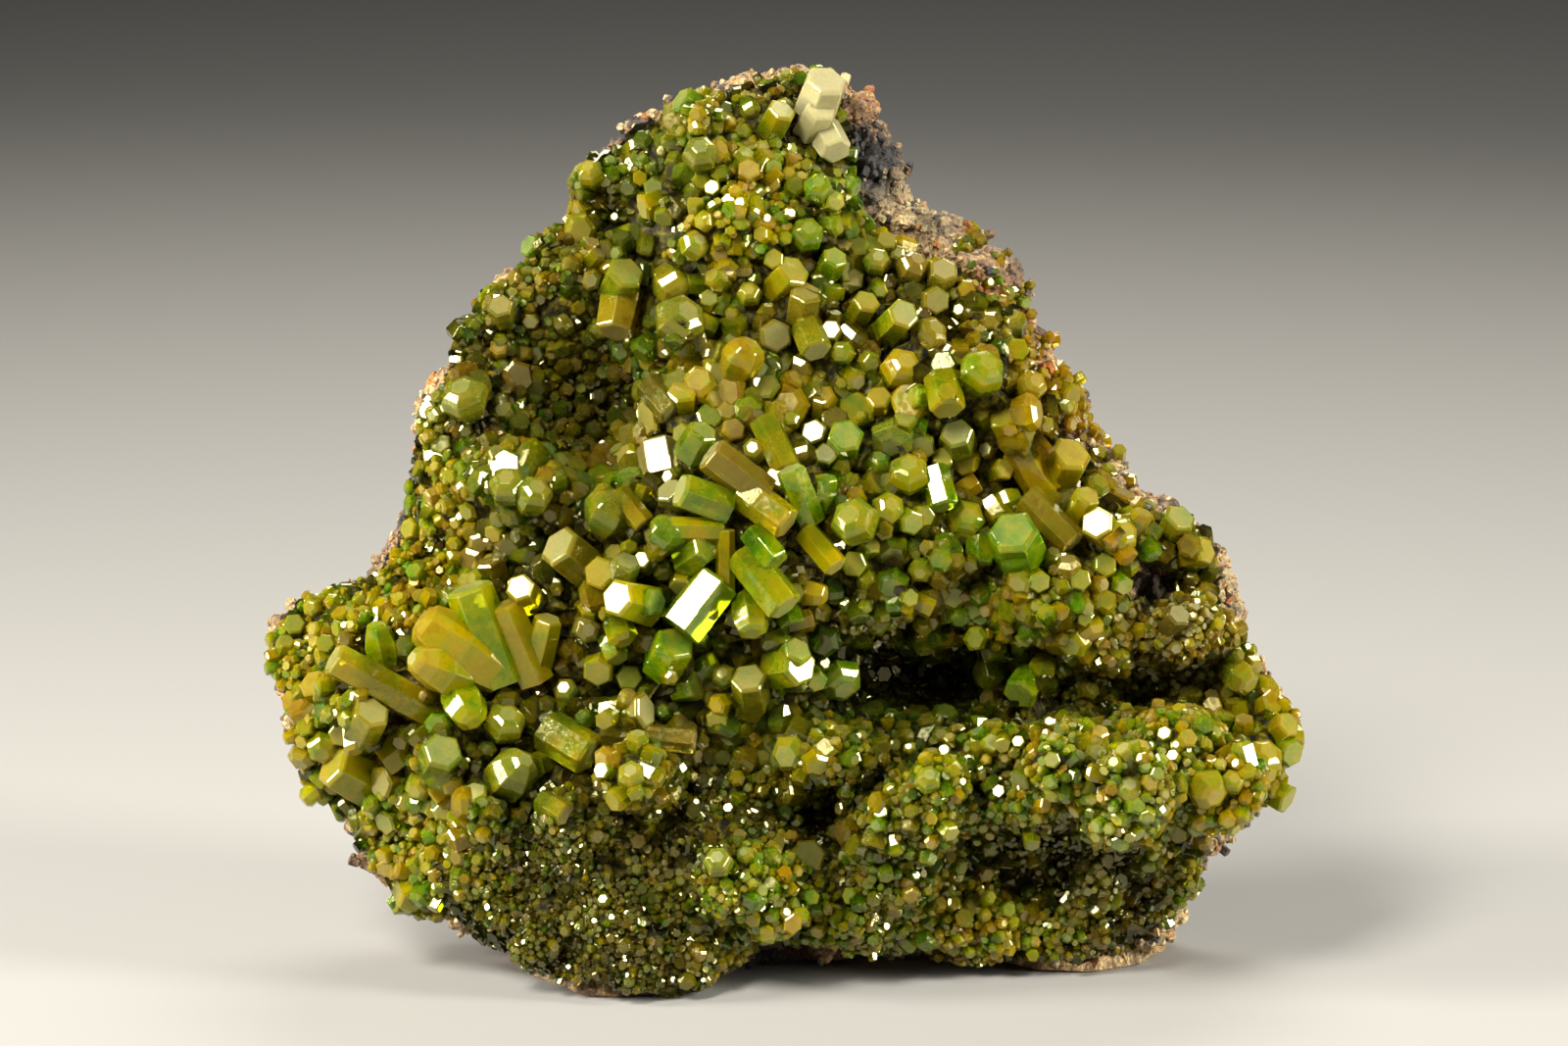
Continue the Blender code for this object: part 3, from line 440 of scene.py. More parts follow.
def makeForm(settings):
    # a stack of six-sided rings with a bevelled end, as points, faces and how pale each face is painted as sheen
    work = bmesh.new()
    rings = settings["rings"]
    bmesh.ops.create_circle(work, cap_ends=True, segments=6, radius=rings[0][1])
    bmesh.ops.reverse_faces(work, faces=work.faces)
    edges = list(work.edges)
    for (low, before), (high, after) in zip(rings, rings[1:]):
        grown = bmesh.ops.extrude_edge_only(work, edges=edges)["geom"]
        points = [part for part in grown if isinstance(part, bmesh.types.BMVert)]
        edges = [part for part in grown if isinstance(part, bmesh.types.BMEdge) and all(v in points for v in part.verts)]
        bmesh.ops.translate(work, verts=points, vec=(0, 0, high - low))
        bmesh.ops.scale(work, verts=points, vec=(after / before, after / before, 1))
    bmesh.ops.contextual_create(work, geom=edges)
    bmesh.ops.recalc_face_normals(work, faces=work.faces)
    if settings["crown"]:
        rim = [edge for edge in work.edges if all(point.co.z > 1.99 for point in edge.verts)]
        bmesh.ops.bevel(work, geom=rim, offset=settings["crown"], offset_type="OFFSET", segments=1, profile=0.5, affect="EDGES", material=-1)
    worn = set()
    if settings["edge"]:
        sharp = [edge for edge in work.edges if min(p.co.z for p in edge.verts) > 0.01 and edge.calc_face_angle(0) > 0.3]
        worn = set(bmesh.ops.bevel(work, geom=sharp, offset=settings["edge"], offset_type="OFFSET", segments=1, profile=0.5, affect="EDGES", material=-1)["faces"])
    work.verts.index_update()
    work.normal_update()
    shape = {
        "points": np.array([point.co[:] for point in work.verts]),
        "faces": [[point.index for point in face.verts] for face in work.faces],
        # painted sheen: the end face palest, the slanting faces and worn edges a little
        "ends": [0.15 if face in worn else 0.75 if face.normal.z > 0.96 else 0.15 if face.normal.z > 0.3 else 0.0 for face in work.faces],
    }
    work.free()
    return shape


formShapes = {name: makeForm(settings) for name, settings in forms.items()}


innerCorner = np.array([-1.0, cadBox[0][1] - 1.0 * mm, 0.05 * mm])  # nothing stands further out


def crystalTurn(axis, roll):
    # turned about its axis in the picture's own frame, as the CAD crystals are
    local = (sightBack.to_3x3() @ Vector(axis)).to_track_quat("Z", "Y").to_matrix() @ Matrix.Rotation(roll, 3, "Z")
    return sightTurn.to_3x3() @ local


def joinCrystals(name, crystals, material=crystalMaterial, labels=("tint", "grey", "paintedShade")):
    # one mesh of many crystals, each with its form, tip, axis, roll, radius, length and look
    points, rises, loops, starts = [], [], [], []
    looks = {label: [] for label in ("sheenAndMilk", *labels)}
    offset = 0
    for item in crystals:
        shape = formShapes[item["form"]]
        unit, radius, length = shape["points"], item["radius"], item["length"]
        local = unit * (radius, radius, 1)
        local[:, :2] *= (1 + (item.get("end", 1.0) - 1) * unit[:, 2] / 2)[:, None]
        local[:, 0] *= item.get("flat", 1.0)
        local[:, 2] = np.where(unit[:, 2] > 1.55, -(2 - unit[:, 2]) * radius, (unit[:, 2] / 2 - 1) * length)
        rises.append(np.clip(1 + local[:, 2] / (item.get("fade", 2.2) * radius), item.get("rootRise", 0.0), 1))
        placed = local @ np.array(crystalTurn(item["axis"], item["roll"])).T + np.array(item["tip"])
        points.append(placed + np.maximum(innerCorner - placed.min(axis=0), 0))
        for face, end in zip(shape["faces"], shape["ends"]):
            starts.append(len(loops))
            loops.extend(index + offset for index in face)
            looks["sheenAndMilk"].append(max(end * item.get("sheenAndMilk", 0), item.get("milky", 0)))
        for label in labels:
            looks[label].extend([item.get(label, 1.0)] * len(shape["faces"]))
        offset += len(unit)
    mesh = bpy.data.meshes.new(name)
    mesh.vertices.add(offset)
    mesh.vertices.foreach_set("co", np.concatenate(points).astype(np.float32).ravel())
    mesh.loops.add(len(loops))
    mesh.loops.foreach_set("vertex_index", np.array(loops, np.int32))
    mesh.polygons.add(len(starts))
    mesh.polygons.foreach_set("loop_start", np.array(starts, np.int32))
    mesh.update(calc_edges=True)
    for label, values in looks.items():
        setValues(mesh, label, "FACE", values)
    setValues(mesh, "rise", "POINT", np.concatenate(rises))
    mesh.materials.append(material)
    mesh.validate()
    mesh.shade_flat()
    return mesh


keyPlace = Vector((-0.30, 0.42, 0.52))  # of the key light, across, up and forward in metres

# Large crystals, by the CAD node that each piece stands for. As in the CAD model: pixel across and
# down, width and length in mm, lean in the picture, turn to the viewer, turn about the axis, width of
# the end. Then the tint from 0 for green to 1 for gold, greyness of the sides and paleness of the end,
# which is painted sheen.
largeCrystals = {
    "long_prism_left": [(396, 702, 3.8, 13.0, 150, 16, 12, 1.0, 0.55, 0.3, 0.9)],
    "barrel_group_left": [(470, 660, 6.4, 10.0, 145, 12, 20, 0.8, 0.68, 0.0, 0.5), (450, 682, 6.0, 7.6, 158, 38, 5, 0.5, 0.6, 0.0, 1.0)],
    "green_barrel_left": [(388, 656, 3.6, 4.6, 100, 25, 0, 0.7, 0.4, 0.0, 0.3)],
    "tabular_group_left": [
        (496, 647, 5.0, 10.4, 110, 10, 30, 1.0, 0.38, 0.0, 0.8), (530, 655, 4.2, 8.6, 112, 14, 10, 0.9, 0.68, 0.0, 0.5),
        (553, 657, 3.4, 6.0, 75, 24, 15, 0.9, 0.55, 0.0, 0.6),
    ],
    "pale_block_left": [(535, 605, 3.8, 4.2, 70, 58, 0, 0.8, 0.6, 0.1, 1.0)],
    "round_barrel_left": [(475, 720, 4.6, 5.0, -60, 40, 0, 0.7, 0.4, 0.0, 0.2)],
    "block_lower_left": [(358, 789, 5.6, 5.0, 150, 30, 0, 0.9, 0.52, 0.1, 0.3)],
    "barrel_lower_left": [(524, 787, 5.6, 5.2, 45, 45, 0, 0.6, 0.38, 0.35, 0.6)],
    "olive_block_lower_left": [(580, 757, 4.6, 5.6, -30, 20, 25, 1.0, 0.45, 0.3, 0.5)],
    "lying_prism_low": [(662, 751, 2.8, 9.4, -5, 6, 10, 1.0, 0.6, 0.75, 0.7)],
    "tan_block_left": [(585, 568, 4.8, 5.0, 140, 38, 0, 1.0, 0.55, 0.5, 0.8)],
    "bright_block_centre": [(645, 613, 4.8, 5.2, 165, 52, 0, 0.85, 0.55, 0.0, 1.0)],
    "green_block_centre": [(656, 614, 3.8, 4.0, 5, 45, 0, 0.8, 0.25, 0.0, 0.4)],
    "tan_block_centre": [(675, 468, 4.8, 3.8, 105, 8, 8, 1.0, 0.6, 0.85, 0.8)],
    "dark_block_centre": [(711, 451, 3.8, 3.6, 60, 35, 20, 0.85, 0.25, 0.35, 0.4)],
    "stacked_prisms_centre": [(752, 483, 3.9, 7.0, 143, 12, 20, 1.0, 0.7, 0.7, 0.9), (781, 518, 3.8, 5.8, -38, 16, 20, 1.0, 0.6, 0.3, 0.5)],
    "green_prism_centre": [(718, 508, 4.0, 5.4, 160, 20, 5, 1.0, 0.36, 0.2, 0.9)],
    "flat_prism_centre": [(710, 540, 2.6, 5.4, 178, 10, 20, 1.0, 0.6, 0.1, 1.0)],
    "green_end_centre": [(710, 565, 3.6, 3.8, 35, 45, 0, 0.9, 0.35, 0.2, 0.1)],
    "upright_prism_centre": [(740, 570, 2.0, 6.0, 90, 8, 25, 1.0, 0.66, 0.0, 0.5)],
    "bright_prism_centre": [(714, 616, 5.0, 6.4, 60, 12, 12, 1.0, 0.3, 0.15, 0.8)],
    "large_prism_centre": [(780, 592, 4.1, 7.2, -52, 18, 15, 1.0, 0.42, 0.15, 0.7)],
    "tall_green_prism_centre": [(817, 505, 3.2, 6.0, 112, 18, 10, 1.0, 0.35, 0.0, 0.8)],
    "olive_prism_centre": [(791, 453, 3.2, 5.8, -65, 15, 10, 1.0, 0.5, 0.35, 0.5)],
    "yellow_prism_centre": [(838, 560, 2.8, 5.0, -50, 20, 10, 1.0, 0.55, 0.05, 0.6)],
    "hexagonal_block_right": [(1037, 553, 5.8, 4.8, 110, 58, 10, 0.9, 0.22, 0.1, 0.45)],
    "tan_prism_right": [(1072, 530, 3.2, 6.8, -45, 14, 25, 1.0, 0.65, 0.6, 0.8)],
    "twin_prisms_right": [(1053, 481, 3.8, 6.0, 120, 15, 25, 1.0, 0.75, 0.1, 0.6), (1086, 474, 5.0, 4.4, 60, 50, 0, 0.9, 0.62, 0.15, 0.4)],
    "bright_block_right": [(1124, 539, 3.6, 4.2, 75, 50, 0, 1.0, 0.6, 0.1, 1.0)],
    "tan_block_upper": [(631, 318, 4.6, 4.8, -100, 25, 10, 0.9, 0.7, 0.4, 0.7)],
    "cream_group_peak": [
        (838, 96, 5.0, 4.4, 70, 45, 0, 0.9, 0.65, 0.85, 1.0), (832, 121, 3.8, 4.0, 60, 50, 10, 0.9, 0.6, 0.5, 0.9),
        (846, 142, 3.8, 4.0, -60, 40, 20, 0.9, 0.4, 0.3, 0.7),
    ],
    "round_prism_upper": [(914, 328, 3.6, 5.0, 45, 62, 0, 0.95, 0.45, 0.2, 0.9)],
}
mirrors = {(714, 616): "side", (675, 468): "side", (1124, 539): "end", (535, 605): "end"}
milky = {"cream_group_peak": 0.88, "tan_block_centre": 0.3}
barrels = ("barrel_group_left", "green_barrel_left", "round_barrel_left", "barrel_lower_left")


def sightAxis(lean, face):
    lean, face = math.radians(lean), math.radians(face)
    local = Vector((math.cos(lean) * math.cos(face), math.sin(lean) * math.cos(face), math.sin(face)))
    return sightTurn.to_3x3() @ local


def prismTree(across, down, width, length, axis, roll, end):
    # the plain prism of a crystal at the picture plane, as the CAD model has it
    work = bmesh.new()
    turn = (sightBack.to_3x3() @ crystalTurn(axis, roll)).to_4x4()
    form = Matrix.Translation(sightBack @ seen(across, down)) @ turn
    bmesh.ops.create_cone(work, cap_ends=True, segments=6, radius1=width / 2, radius2=width / 2 * end, depth=length, matrix=form)
    tree = BVHTree.FromBMesh(work)
    work.free()
    return tree


def turnedToKey(axis, place, part):
    # turned so that its end or one of its sides mirrors the key light to the camera
    half = ((eye - place).normalized() + (sightFrame @ keyPlace - place).normalized()).normalized()
    if part == "end":
        return half, 0.3
    axis = (axis - half * axis.dot(half)).normalized()
    across = Matrix(crystalTurn(axis, 0)).transposed() @ half
    return axis, math.atan2(across.y, across.x)


def crystalAt(tree, entry, form, roll, end, look, mirror=None):
    # seated as the CAD crystal is: at the middle one of the gaps between its plain prism and the CAD
    across, down, width, length = entry[:4]
    width, length = width * mm, length * mm
    axis = sightAxis(*entry[4:6])
    roll = math.radians(roll)
    plain = prismTree(across, down, width, length, axis, roll, end)
    gaps = []
    for x in range(-3, 4):
        for y in range(-3, 4):
            a, b = across + x * width / mm * 1.2, down + y * width / mm * 1.2
            hit = plain.ray_cast(Vector((*(sightBack @ seen(a, b)).xy, 50 * mm)), Vector((0, 0, -1)))[0]
            there = tree.ray_cast(eye, (seen(a, b) - eye).normalized())[0]
            if hit is not None and there is not None:
                gaps.append((sightBack @ there).z - hit.z)
    forward = sorted(gaps)[len(gaps) // 2] if gaps else 0.0
    tint, grey, sheenAndMilk = look
    place = seen(across, down, forward)
    if mirror:
        axis, roll = turnedToKey(axis, place, mirror)
    return {"form": form, "tip": place + axis * length / 2, "axis": axis, "roll": roll, "end": end,
            "radius": width / 2, "length": length, "tint": tint, "grey": grey, "sheenAndMilk": sheenAndMilk, "fade": 3.0, "rootRise": 0.45}


def liftedClear(crystal):
    # moved to the viewer where the ground of the crust would cover its end
    tip, axis = crystal["tip"], crystal["axis"]
    toEye = (eye - tip).normalized()
    side = axis.orthogonal().normalized() * crystal["radius"] * 0.85
    asides = [Matrix.Rotation(math.radians(60 * step), 3, axis) @ side for step in range(6)]
    cover = 0.0
    for back in (0.0, 0.3):
        for aside in [Vector(), *asides]:
            if aside.dot(toEye) > -0.3 * crystal["radius"] and not (back and aside.length == 0):
                point = tip - axis * crystal["length"] * back + aside
                ground = crustTree.ray_cast(eye, (point - eye).normalized())[0]
                cover = max(cover, 0 if ground is None else (point - eye).length - (ground - eye).length)
    if cover > 0:
        crystal["tip"] = tip + toEye * min(cover + 0.25 * mm, 4.5 * mm)
    return crystal


def makeLarge():
    made, pieces = [], []
    for node, entries in largeCrystals.items():
        tree = treeOf(node)
        form = "fineBarrel" if node in barrels else "fine"
        crystals = [crystalAt(tree, entry, form, entry[6], entry[7], entry[8:], mirrors.get(entry[:2])) for entry in entries]
        for crystal in crystals:
            liftedClear(crystal)["rootRise"] = 0.6
            crystal["milky"] = milky.get(node, 0.0)
        label = node.title().replace("_", "") + "Look"
        pieces.append(newPiece(label, joinCrystals(label, crystals)))
        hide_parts(node)
        made.extend(crystals)
    return made, pieces


bigCrystals, shadePieces = makeLarge()
print("large crystals:", len(largeCrystals), "pieces")

# Crystals in the crust that the CAD crust has too: across, down, width, length, lean, face, tint,
# greyness and paleness of the end, which is painted sheen.
crustCrystals = [
    (792, 123, 3.2, 3.4, 60, 40, 0.5, 0.2, 0.9), (715, 158, 3.4, 3.4, 90, 60, 0.35, 0.5, 0.6), (835, 193, 2.8, 3.0, 90, 60, 0.3, 0.1, 0.4),
    (823, 240, 3.2, 3.2, 70, 60, 0.3, 0.1, 0.4), (848, 270, 2.8, 3.0, 60, 50, 0.35, 0.1, 0.5), (707, 251, 2.8, 3.0, 45, 50, 0.5, 0.1, 0.8),
    (895, 268, 2.6, 2.8, 80, 60, 0.4, 0.3, 0.9), (931, 273, 3.0, 3.0, 60, 45, 0.7, 0.6, 0.6), (603, 178, 2.6, 2.8, 110, 50, 0.5, 0.2, 0.5),
    (634, 287, 4.2, 3.6, 60, 50, 0.4, 0.3, 0.4), (693, 327, 4.8, 4.2, 45, 50, 0.4, 0.5, 0.6), (685, 289, 3.6, 3.6, -60, 30, 0.5, 0.4, 0.4),
    (512, 318, 2.8, 2.8, 100, 60, 0.5, 0.6, 0.6), (800, 286, 4.0, 4.2, 45, 45, 0.55, 0.15, 0.4), (820, 311, 3.6, 3.6, 80, 40, 0.6, 0.6, 0.4),
    (828, 345, 3.4, 3.6, -70, 35, 0.5, 0.4, 0.9), (880, 315, 3.0, 3.0, 60, 50, 0.5, 0.2, 0.4), (960, 283, 3.2, 3.2, 70, 55, 0.6, 0.6, 0.8),
    (947, 342, 3.4, 3.4, 45, 45, 0.7, 0.5, 0.5), (757, 366, 3.8, 4.2, 60, 25, 0.7, 0.2, 0.3), (919, 377, 3.8, 3.8, 60, 55, 0.65, 0.1, 0.4),
    (674, 406, 3.2, 4.4, -50, 25, 0.55, 0.7, 0.7), (964, 401, 3.8, 4.0, -80, 30, 0.5, 0.1, 0.4), (1001, 381, 4.2, 4.2, 60, 50, 0.4, 0.05, 0.3),
    (1036, 438, 4.4, 4.6, 120, 30, 0.6, 0.05, 0.3), (1051, 394, 3.0, 3.0, 45, 55, 0.7, 0.2, 0.5), (475, 407, 4.4, 3.8, 110, 45, 0.4, 0.5, 0.5),
    (862, 449, 3.8, 3.2, 80, 70, 0.25, 0.1, 0.5), (842, 467, 2.4, 3.0, 80, 70, 0.4, 0.4, 1.0), (911, 447, 4.2, 3.0, -100, 50, 0.3, 0.4, 0.7),
    (927, 484, 3.8, 3.6, 90, 50, 0.5, 0.1, 0.4), (978, 449, 3.6, 3.4, 110, 60, 0.35, 0.4, 0.8), (958, 498, 3.2, 4.2, -75, 20, 0.3, 0.1, 0.3),
    (873, 532, 4.4, 3.8, 130, 55, 0.4, 0.2, 0.4), (967, 563, 2.8, 3.6, -75, 30, 0.35, 0.1, 0.4), (681, 544, 3.6, 3.4, 60, 25, 0.25, 0.3, 0.3),
    (780, 558, 3.2, 4.2, -50, 20, 0.25, 0.0, 0.2), (842, 503, 2.4, 3.6, 85, 20, 0.3, 0.0, 0.2), (765, 627, 3.4, 4.6, -80, 35, 0.4, 0.1, 0.5),
    (806, 628, 3.0, 3.0, -70, 35, 0.25, 0.05, 0.2), (825, 604, 2.4, 3.8, -10, 15, 0.7, 0.1, 0.3), (519, 497, 3.6, 3.4, 100, 50, 0.35, 0.4, 0.5),
    (543, 506, 3.6, 3.6, 60, 50, 0.45, 0.4, 0.5), (621, 522, 4.6, 4.2, 60, 30, 0.35, 0.45, 0.3), (644, 519, 2.6, 4.4, -50, 15, 0.65, 0.3, 0.4),
    (690, 508, 3.2, 3.2, 130, 40, 0.4, 0.7, 0.7), (636, 583, 3.0, 3.2, 70, 40, 0.3, 0.5, 0.6), (374, 737, 4.0, 4.0, 60, 45, 0.5, 0.4, 0.7),
    (448, 773, 4.4, 3.8, 60, 60, 0.3, 0.3, 0.6), (486, 818, 3.0, 3.2, 100, 40, 0.4, 0.2, 0.8), (515, 738, 3.8, 3.6, 70, 50, 0.45, 0.3, 0.5),
    (566, 823, 2.8, 3.4, -30, 30, 0.5, 0.3, 0.9), (640, 727, 4.0, 4.6, 10, 30, 0.5, 0.4, 0.9), (645, 792, 2.8, 3.0, 100, 60, 0.45, 0.2, 0.8),
    (766, 702, 3.8, 4.2, 100, 55, 0.45, 0.45, 0.6), (804, 680, 4.4, 4.2, 10, 50, 0.4, 0.2, 0.6), (855, 692, 4.4, 3.6, -60, 45, 0.2, 0.2, 0.8),
    (682, 668, 4.4, 4.4, 60, 45, 0.3, 0.0, 0.2), (733, 881, 2.8, 3.0, 100, 60, 0.4, 0.3, 1.0), (947, 796, 2.6, 2.8, 80, 60, 0.4, 0.2, 0.7),
    (1141, 547, 3.4, 3.4, 40, 50, 0.6, 0.1, 0.4), (1198, 537, 3.6, 3.4, 60, 45, 0.45, 0.3, 0.7), (1220, 564, 3.0, 3.0, 20, 45, 0.6, 0.1, 0.4),
    (1104, 515, 2.8, 3.2, 60, 40, 0.6, 0.2, 0.4), (1198, 634, 2.8, 3.0, 60, 50, 0.6, 0.9, 0.8), (1048, 697, 3.8, 4.2, -130, 45, 0.3, 0.05, 0.3),
    (1013, 686, 3.6, 3.8, 180, 30, 0.35, 0.1, 0.3), (1231, 804, 3.8, 3.6, -45, 50, 0.6, 0.1, 0.4), (1287, 776, 4.0, 3.8, 60, 45, 0.55, 0.1, 0.4),
    (1306, 744, 3.0, 3.0, 40, 45, 0.6, 0.1, 0.4), (1151, 807, 2.8, 3.0, 80, 60, 0.4, 0.3, 0.9), (1265, 690, 3.2, 3.4, -40, 40, 0.5, 0.3, 0.5),
]
# Smaller ones, with their ends outwards: across, down, radius in pixels, tint, greyness, paleness of the
# end, which is painted sheen. An end that is 1.0 pale is turned to mirror the key light, and painted pale too.
endOnCrystals = [
    (656, 574, 10, 0.4, 0.5, 1.0), (676, 579, 11, 0.4, 0.2, 0.4), (697, 590, 13, 0.4, 0.2, 0.4),
    (716, 652, 9, 0.4, 0.1, 1.0), (792, 654, 16, 0.3, 0.1, 0.4), (808, 670, 16, 0.35, 0.2, 0.5), (827, 652, 8, 0.4, 0.2, 0.5),
    (598, 641, 14, 0.55, 0.7, 0.8), (625, 660, 14, 0.35, 0.1, 0.3), (612, 679, 17, 0.5, 0.1, 0.3), (647, 426, 9, 0.5, 0.8, 0.6),
    (501, 536, 10, 0.4, 0.8, 0.8), (833, 444, 14, 0.45, 0.6, 1.0), (771, 460, 12, 0.5, 0.2, 1.0), (793, 492, 13, 0.6, 0.1, 1.0),
    (746, 442, 13, 0.75, 0.4, 0.4), (820, 461, 12, 0.55, 0.7, 0.6), (873, 575, 14, 0.4, 0.1, 0.4), (884, 560, 12, 0.5, 0.1, 0.4),
    (905, 520, 16, 0.45, 0.1, 0.4), (925, 530, 14, 0.35, 0.1, 0.4), (940, 525, 12, 0.45, 0.2, 0.4), (985, 530, 18, 0.4, 0.1, 0.3),
    (1000, 560, 16, 0.35, 0.1, 0.4), (1015, 520, 14, 0.55, 0.1, 0.3), (940, 580, 12, 0.4, 0.1, 0.4), (925, 610, 10, 0.4, 0.2, 0.5),
    (945, 605, 9, 0.5, 0.3, 1.0), (610, 334, 11, 0.55, 0.5, 0.5), (683, 359, 8, 0.5, 0.2, 1.0), (542, 324, 9, 0.5, 0.6, 0.8),
    (575, 330, 9, 0.5, 0.6, 0.7), (596, 177, 9, 0.5, 0.4, 0.7), (617, 181, 8, 0.5, 0.4, 0.7), (729, 127, 10, 0.5, 0.5, 0.9),
    (729, 193, 9, 0.5, 0.1, 1.0), (745, 206, 8, 0.5, 0.1, 1.0), (801, 109, 9, 0.5, 0.3, 1.0), (847, 206, 12, 0.35, 0.2, 0.4),
    (845, 297, 13, 0.35, 0.2, 0.4), (916, 259, 9, 0.5, 0.5, 0.7), (789, 343, 18, 0.5, 0.7, 0.6), (850, 340, 12, 0.5, 0.6, 1.0),
    (886, 369, 12, 0.35, 0.2, 0.5), (897, 412, 14, 0.6, 0.1, 0.3), (952, 305, 15, 0.55, 0.5, 0.6), (987, 307, 12, 0.6, 0.7, 0.6),
    (1003, 427, 10, 0.6, 0.1, 0.3), (1007, 460, 8, 0.6, 0.2, 1.0), (860, 360, 12, 0.4, 0.2, 0.4),
    (720, 330, 12, 0.45, 0.3, 0.4), (735, 310, 11, 0.4, 0.3, 0.4), (765, 300, 12, 0.5, 0.2, 0.4), (750, 335, 14, 0.45, 0.2, 0.4),
    (710, 290, 12, 0.4, 0.2, 0.4), (660, 250, 10, 0.4, 0.4, 0.5), (640, 240, 12, 0.35, 0.3, 0.4), (680, 215, 12, 0.4, 0.3, 0.4),
    (720, 225, 10, 0.6, 0.0, 0.3), (780, 240, 9, 0.6, 0.0, 0.3), (790, 265, 11, 0.5, 0.1, 0.4), (700, 180, 14, 0.35, 0.4, 0.5),
    (670, 190, 12, 0.35, 0.5, 0.5), (735, 150, 10, 0.45, 0.3, 0.6), (765, 110, 10, 0.45, 0.3, 0.7), (690, 160, 10, 0.35, 0.5, 0.5),
    (1058, 590, 12, 0.4, 0.1, 0.4), (1085, 575, 14, 0.35, 0.05, 0.3), (1100, 590, 12, 0.45, 0.1, 0.4), (1125, 580, 13, 0.5, 0.1, 0.4),
    (1150, 575, 11, 0.5, 0.1, 0.4), (1040, 655, 10, 0.35, 0.2, 0.5), (967, 625, 9, 0.5, 0.4, 0.7), (1064, 682, 14, 0.45, 0.05, 0.3),
    (1153, 676, 9, 0.5, 0.5, 0.5), (1168, 684, 9, 0.5, 0.5, 0.6), (1238, 661, 10, 0.5, 0.8, 0.6), (1171, 542, 14, 0.5, 0.1, 0.4),
    (1020, 480, 12, 0.6, 0.1, 0.3), (1030, 510, 13, 0.5, 0.1, 0.3), (985, 497, 13, 0.8, 0.2, 0.3), (987, 467, 15, 0.7, 0.1, 0.3),
    (895, 476, 14, 0.35, 0.1, 0.4), (960, 470, 12, 0.5, 0.1, 0.4), (525, 597, 7, 0.5, 0.6, 1.0),
    (578, 706, 13, 0.45, 0.2, 1.0), (622, 727, 9, 0.5, 0.2, 1.0), (451, 454, 12, 0.4, 0.4, 0.5), (440, 520, 10, 0.5, 0.1, 0.4),
    (425, 540, 12, 0.55, 0.05, 0.3), (300, 640, 12, 0.5, 0.1, 0.4), (320, 620, 10, 0.5, 0.1, 0.4), (345, 625, 12, 0.5, 0.1, 0.4),
    (290, 660, 10, 0.5, 0.1, 0.4), (330, 760, 16, 0.5, 0.1, 0.3), (350, 745, 14, 0.45, 0.1, 0.4), (400, 770, 20, 0.6, 0.05, 0.3),
    (430, 800, 14, 0.5, 0.1, 0.4), (550, 780, 14, 0.45, 0.3, 0.5),
    (640, 690, 14, 0.4, 0.05, 0.3), (655, 705, 12, 0.4, 0.05, 0.3), (700, 700, 16, 0.35, 0.05, 0.3),
    (720, 680, 14, 0.3, 0.1, 0.4), (740, 690, 12, 0.4, 0.2, 0.5), (735, 730, 12, 0.45, 0.2, 0.5), (830, 690, 12, 0.35, 0.1, 0.4),
    (1108, 803, 10, 0.4, 0.3, 0.8), (1052, 855, 9, 0.45, 0.3, 0.7), (965, 767, 7, 0.5, 0.2, 1.0), (929, 763, 7, 0.5, 0.2, 1.0),
    (1040, 758, 7, 0.5, 0.2, 1.0), (1190, 750, 8, 0.5, 0.2, 1.0), (1201, 761, 7, 0.5, 0.2, 1.0), (1198, 772, 7, 0.5, 0.2, 1.0),
    (1127, 809, 8, 0.4, 0.3, 1.0), (1257, 798, 12, 0.5, 0.1, 0.4), (873, 913, 10, 0.35, 0.1, 0.4), (1118, 928, 8, 0.5, 0.5, 1.0),
    (761, 873, 9, 0.4, 0.2, 0.9), (788, 903, 8, 0.35, 0.2, 0.9), (900, 830, 8, 0.4, 0.2, 1.0),
    (1010, 800, 9, 0.4, 0.2, 0.8), (1075, 775, 9, 0.4, 0.2, 0.8), (1150, 770, 10, 0.45, 0.2, 0.8), (1170, 830, 9, 0.4, 0.2, 0.8),
]


def makeCrustCrystals():
    tree = treeOf("crystal_crust")
    crystals = [
        liftedClear(crystalAt(tree, entry, ("fine", "fineBarrel")[entry[0] % 2], (entry[0] * 7 + entry[1] * 13) % 60, 1.0, entry[6:]))
        for entry in crustCrystals
    ]
    for number, (across, down, reach, tint, grey, sheenAndMilk) in enumerate(endOnCrystals):
        place, normal = crustTree.ray_cast(eye, (seen(across, down) - eye).normalized())[:2]
        if place is None:
            print("no crust at", across, down)
            continue
        toEye = (eye - place).normalized()
        wobble = Vector(np.random.RandomState(number).normal(0, 1, 3))
        axis = normal * 0.6 + toEye * 0.5 + wobble * 0.28
        if sheenAndMilk >= 1.0:
            axis = toEye + (sightFrame @ keyPlace - place).normalized() + wobble * 0.06
        axis = axis.normalized()
        radius = reach * sight["pixel"]
        stand = min(radius * 1.1, 1.6 * mm)
        crystals.append({
            "form": ("fine", "fineBarrel")[number % 3 == 1], "tip": place + toEye * 0.2 * mm + axis * stand, "axis": axis,
            "roll": number * 0.37, "radius": radius, "length": stand + 1.2 * mm, "tint": tint, "grey": grey, "sheenAndMilk": sheenAndMilk,
            "fade": 3.0, "rootRise": 0.3,
        })
    bigCrystals.extend(crystals)
    shadePieces.append(newPiece("crustCrystals", joinCrystals("crustCrystals", crystals)))
    print("crystals in the crust:", len(crystals))


makeCrustCrystals()

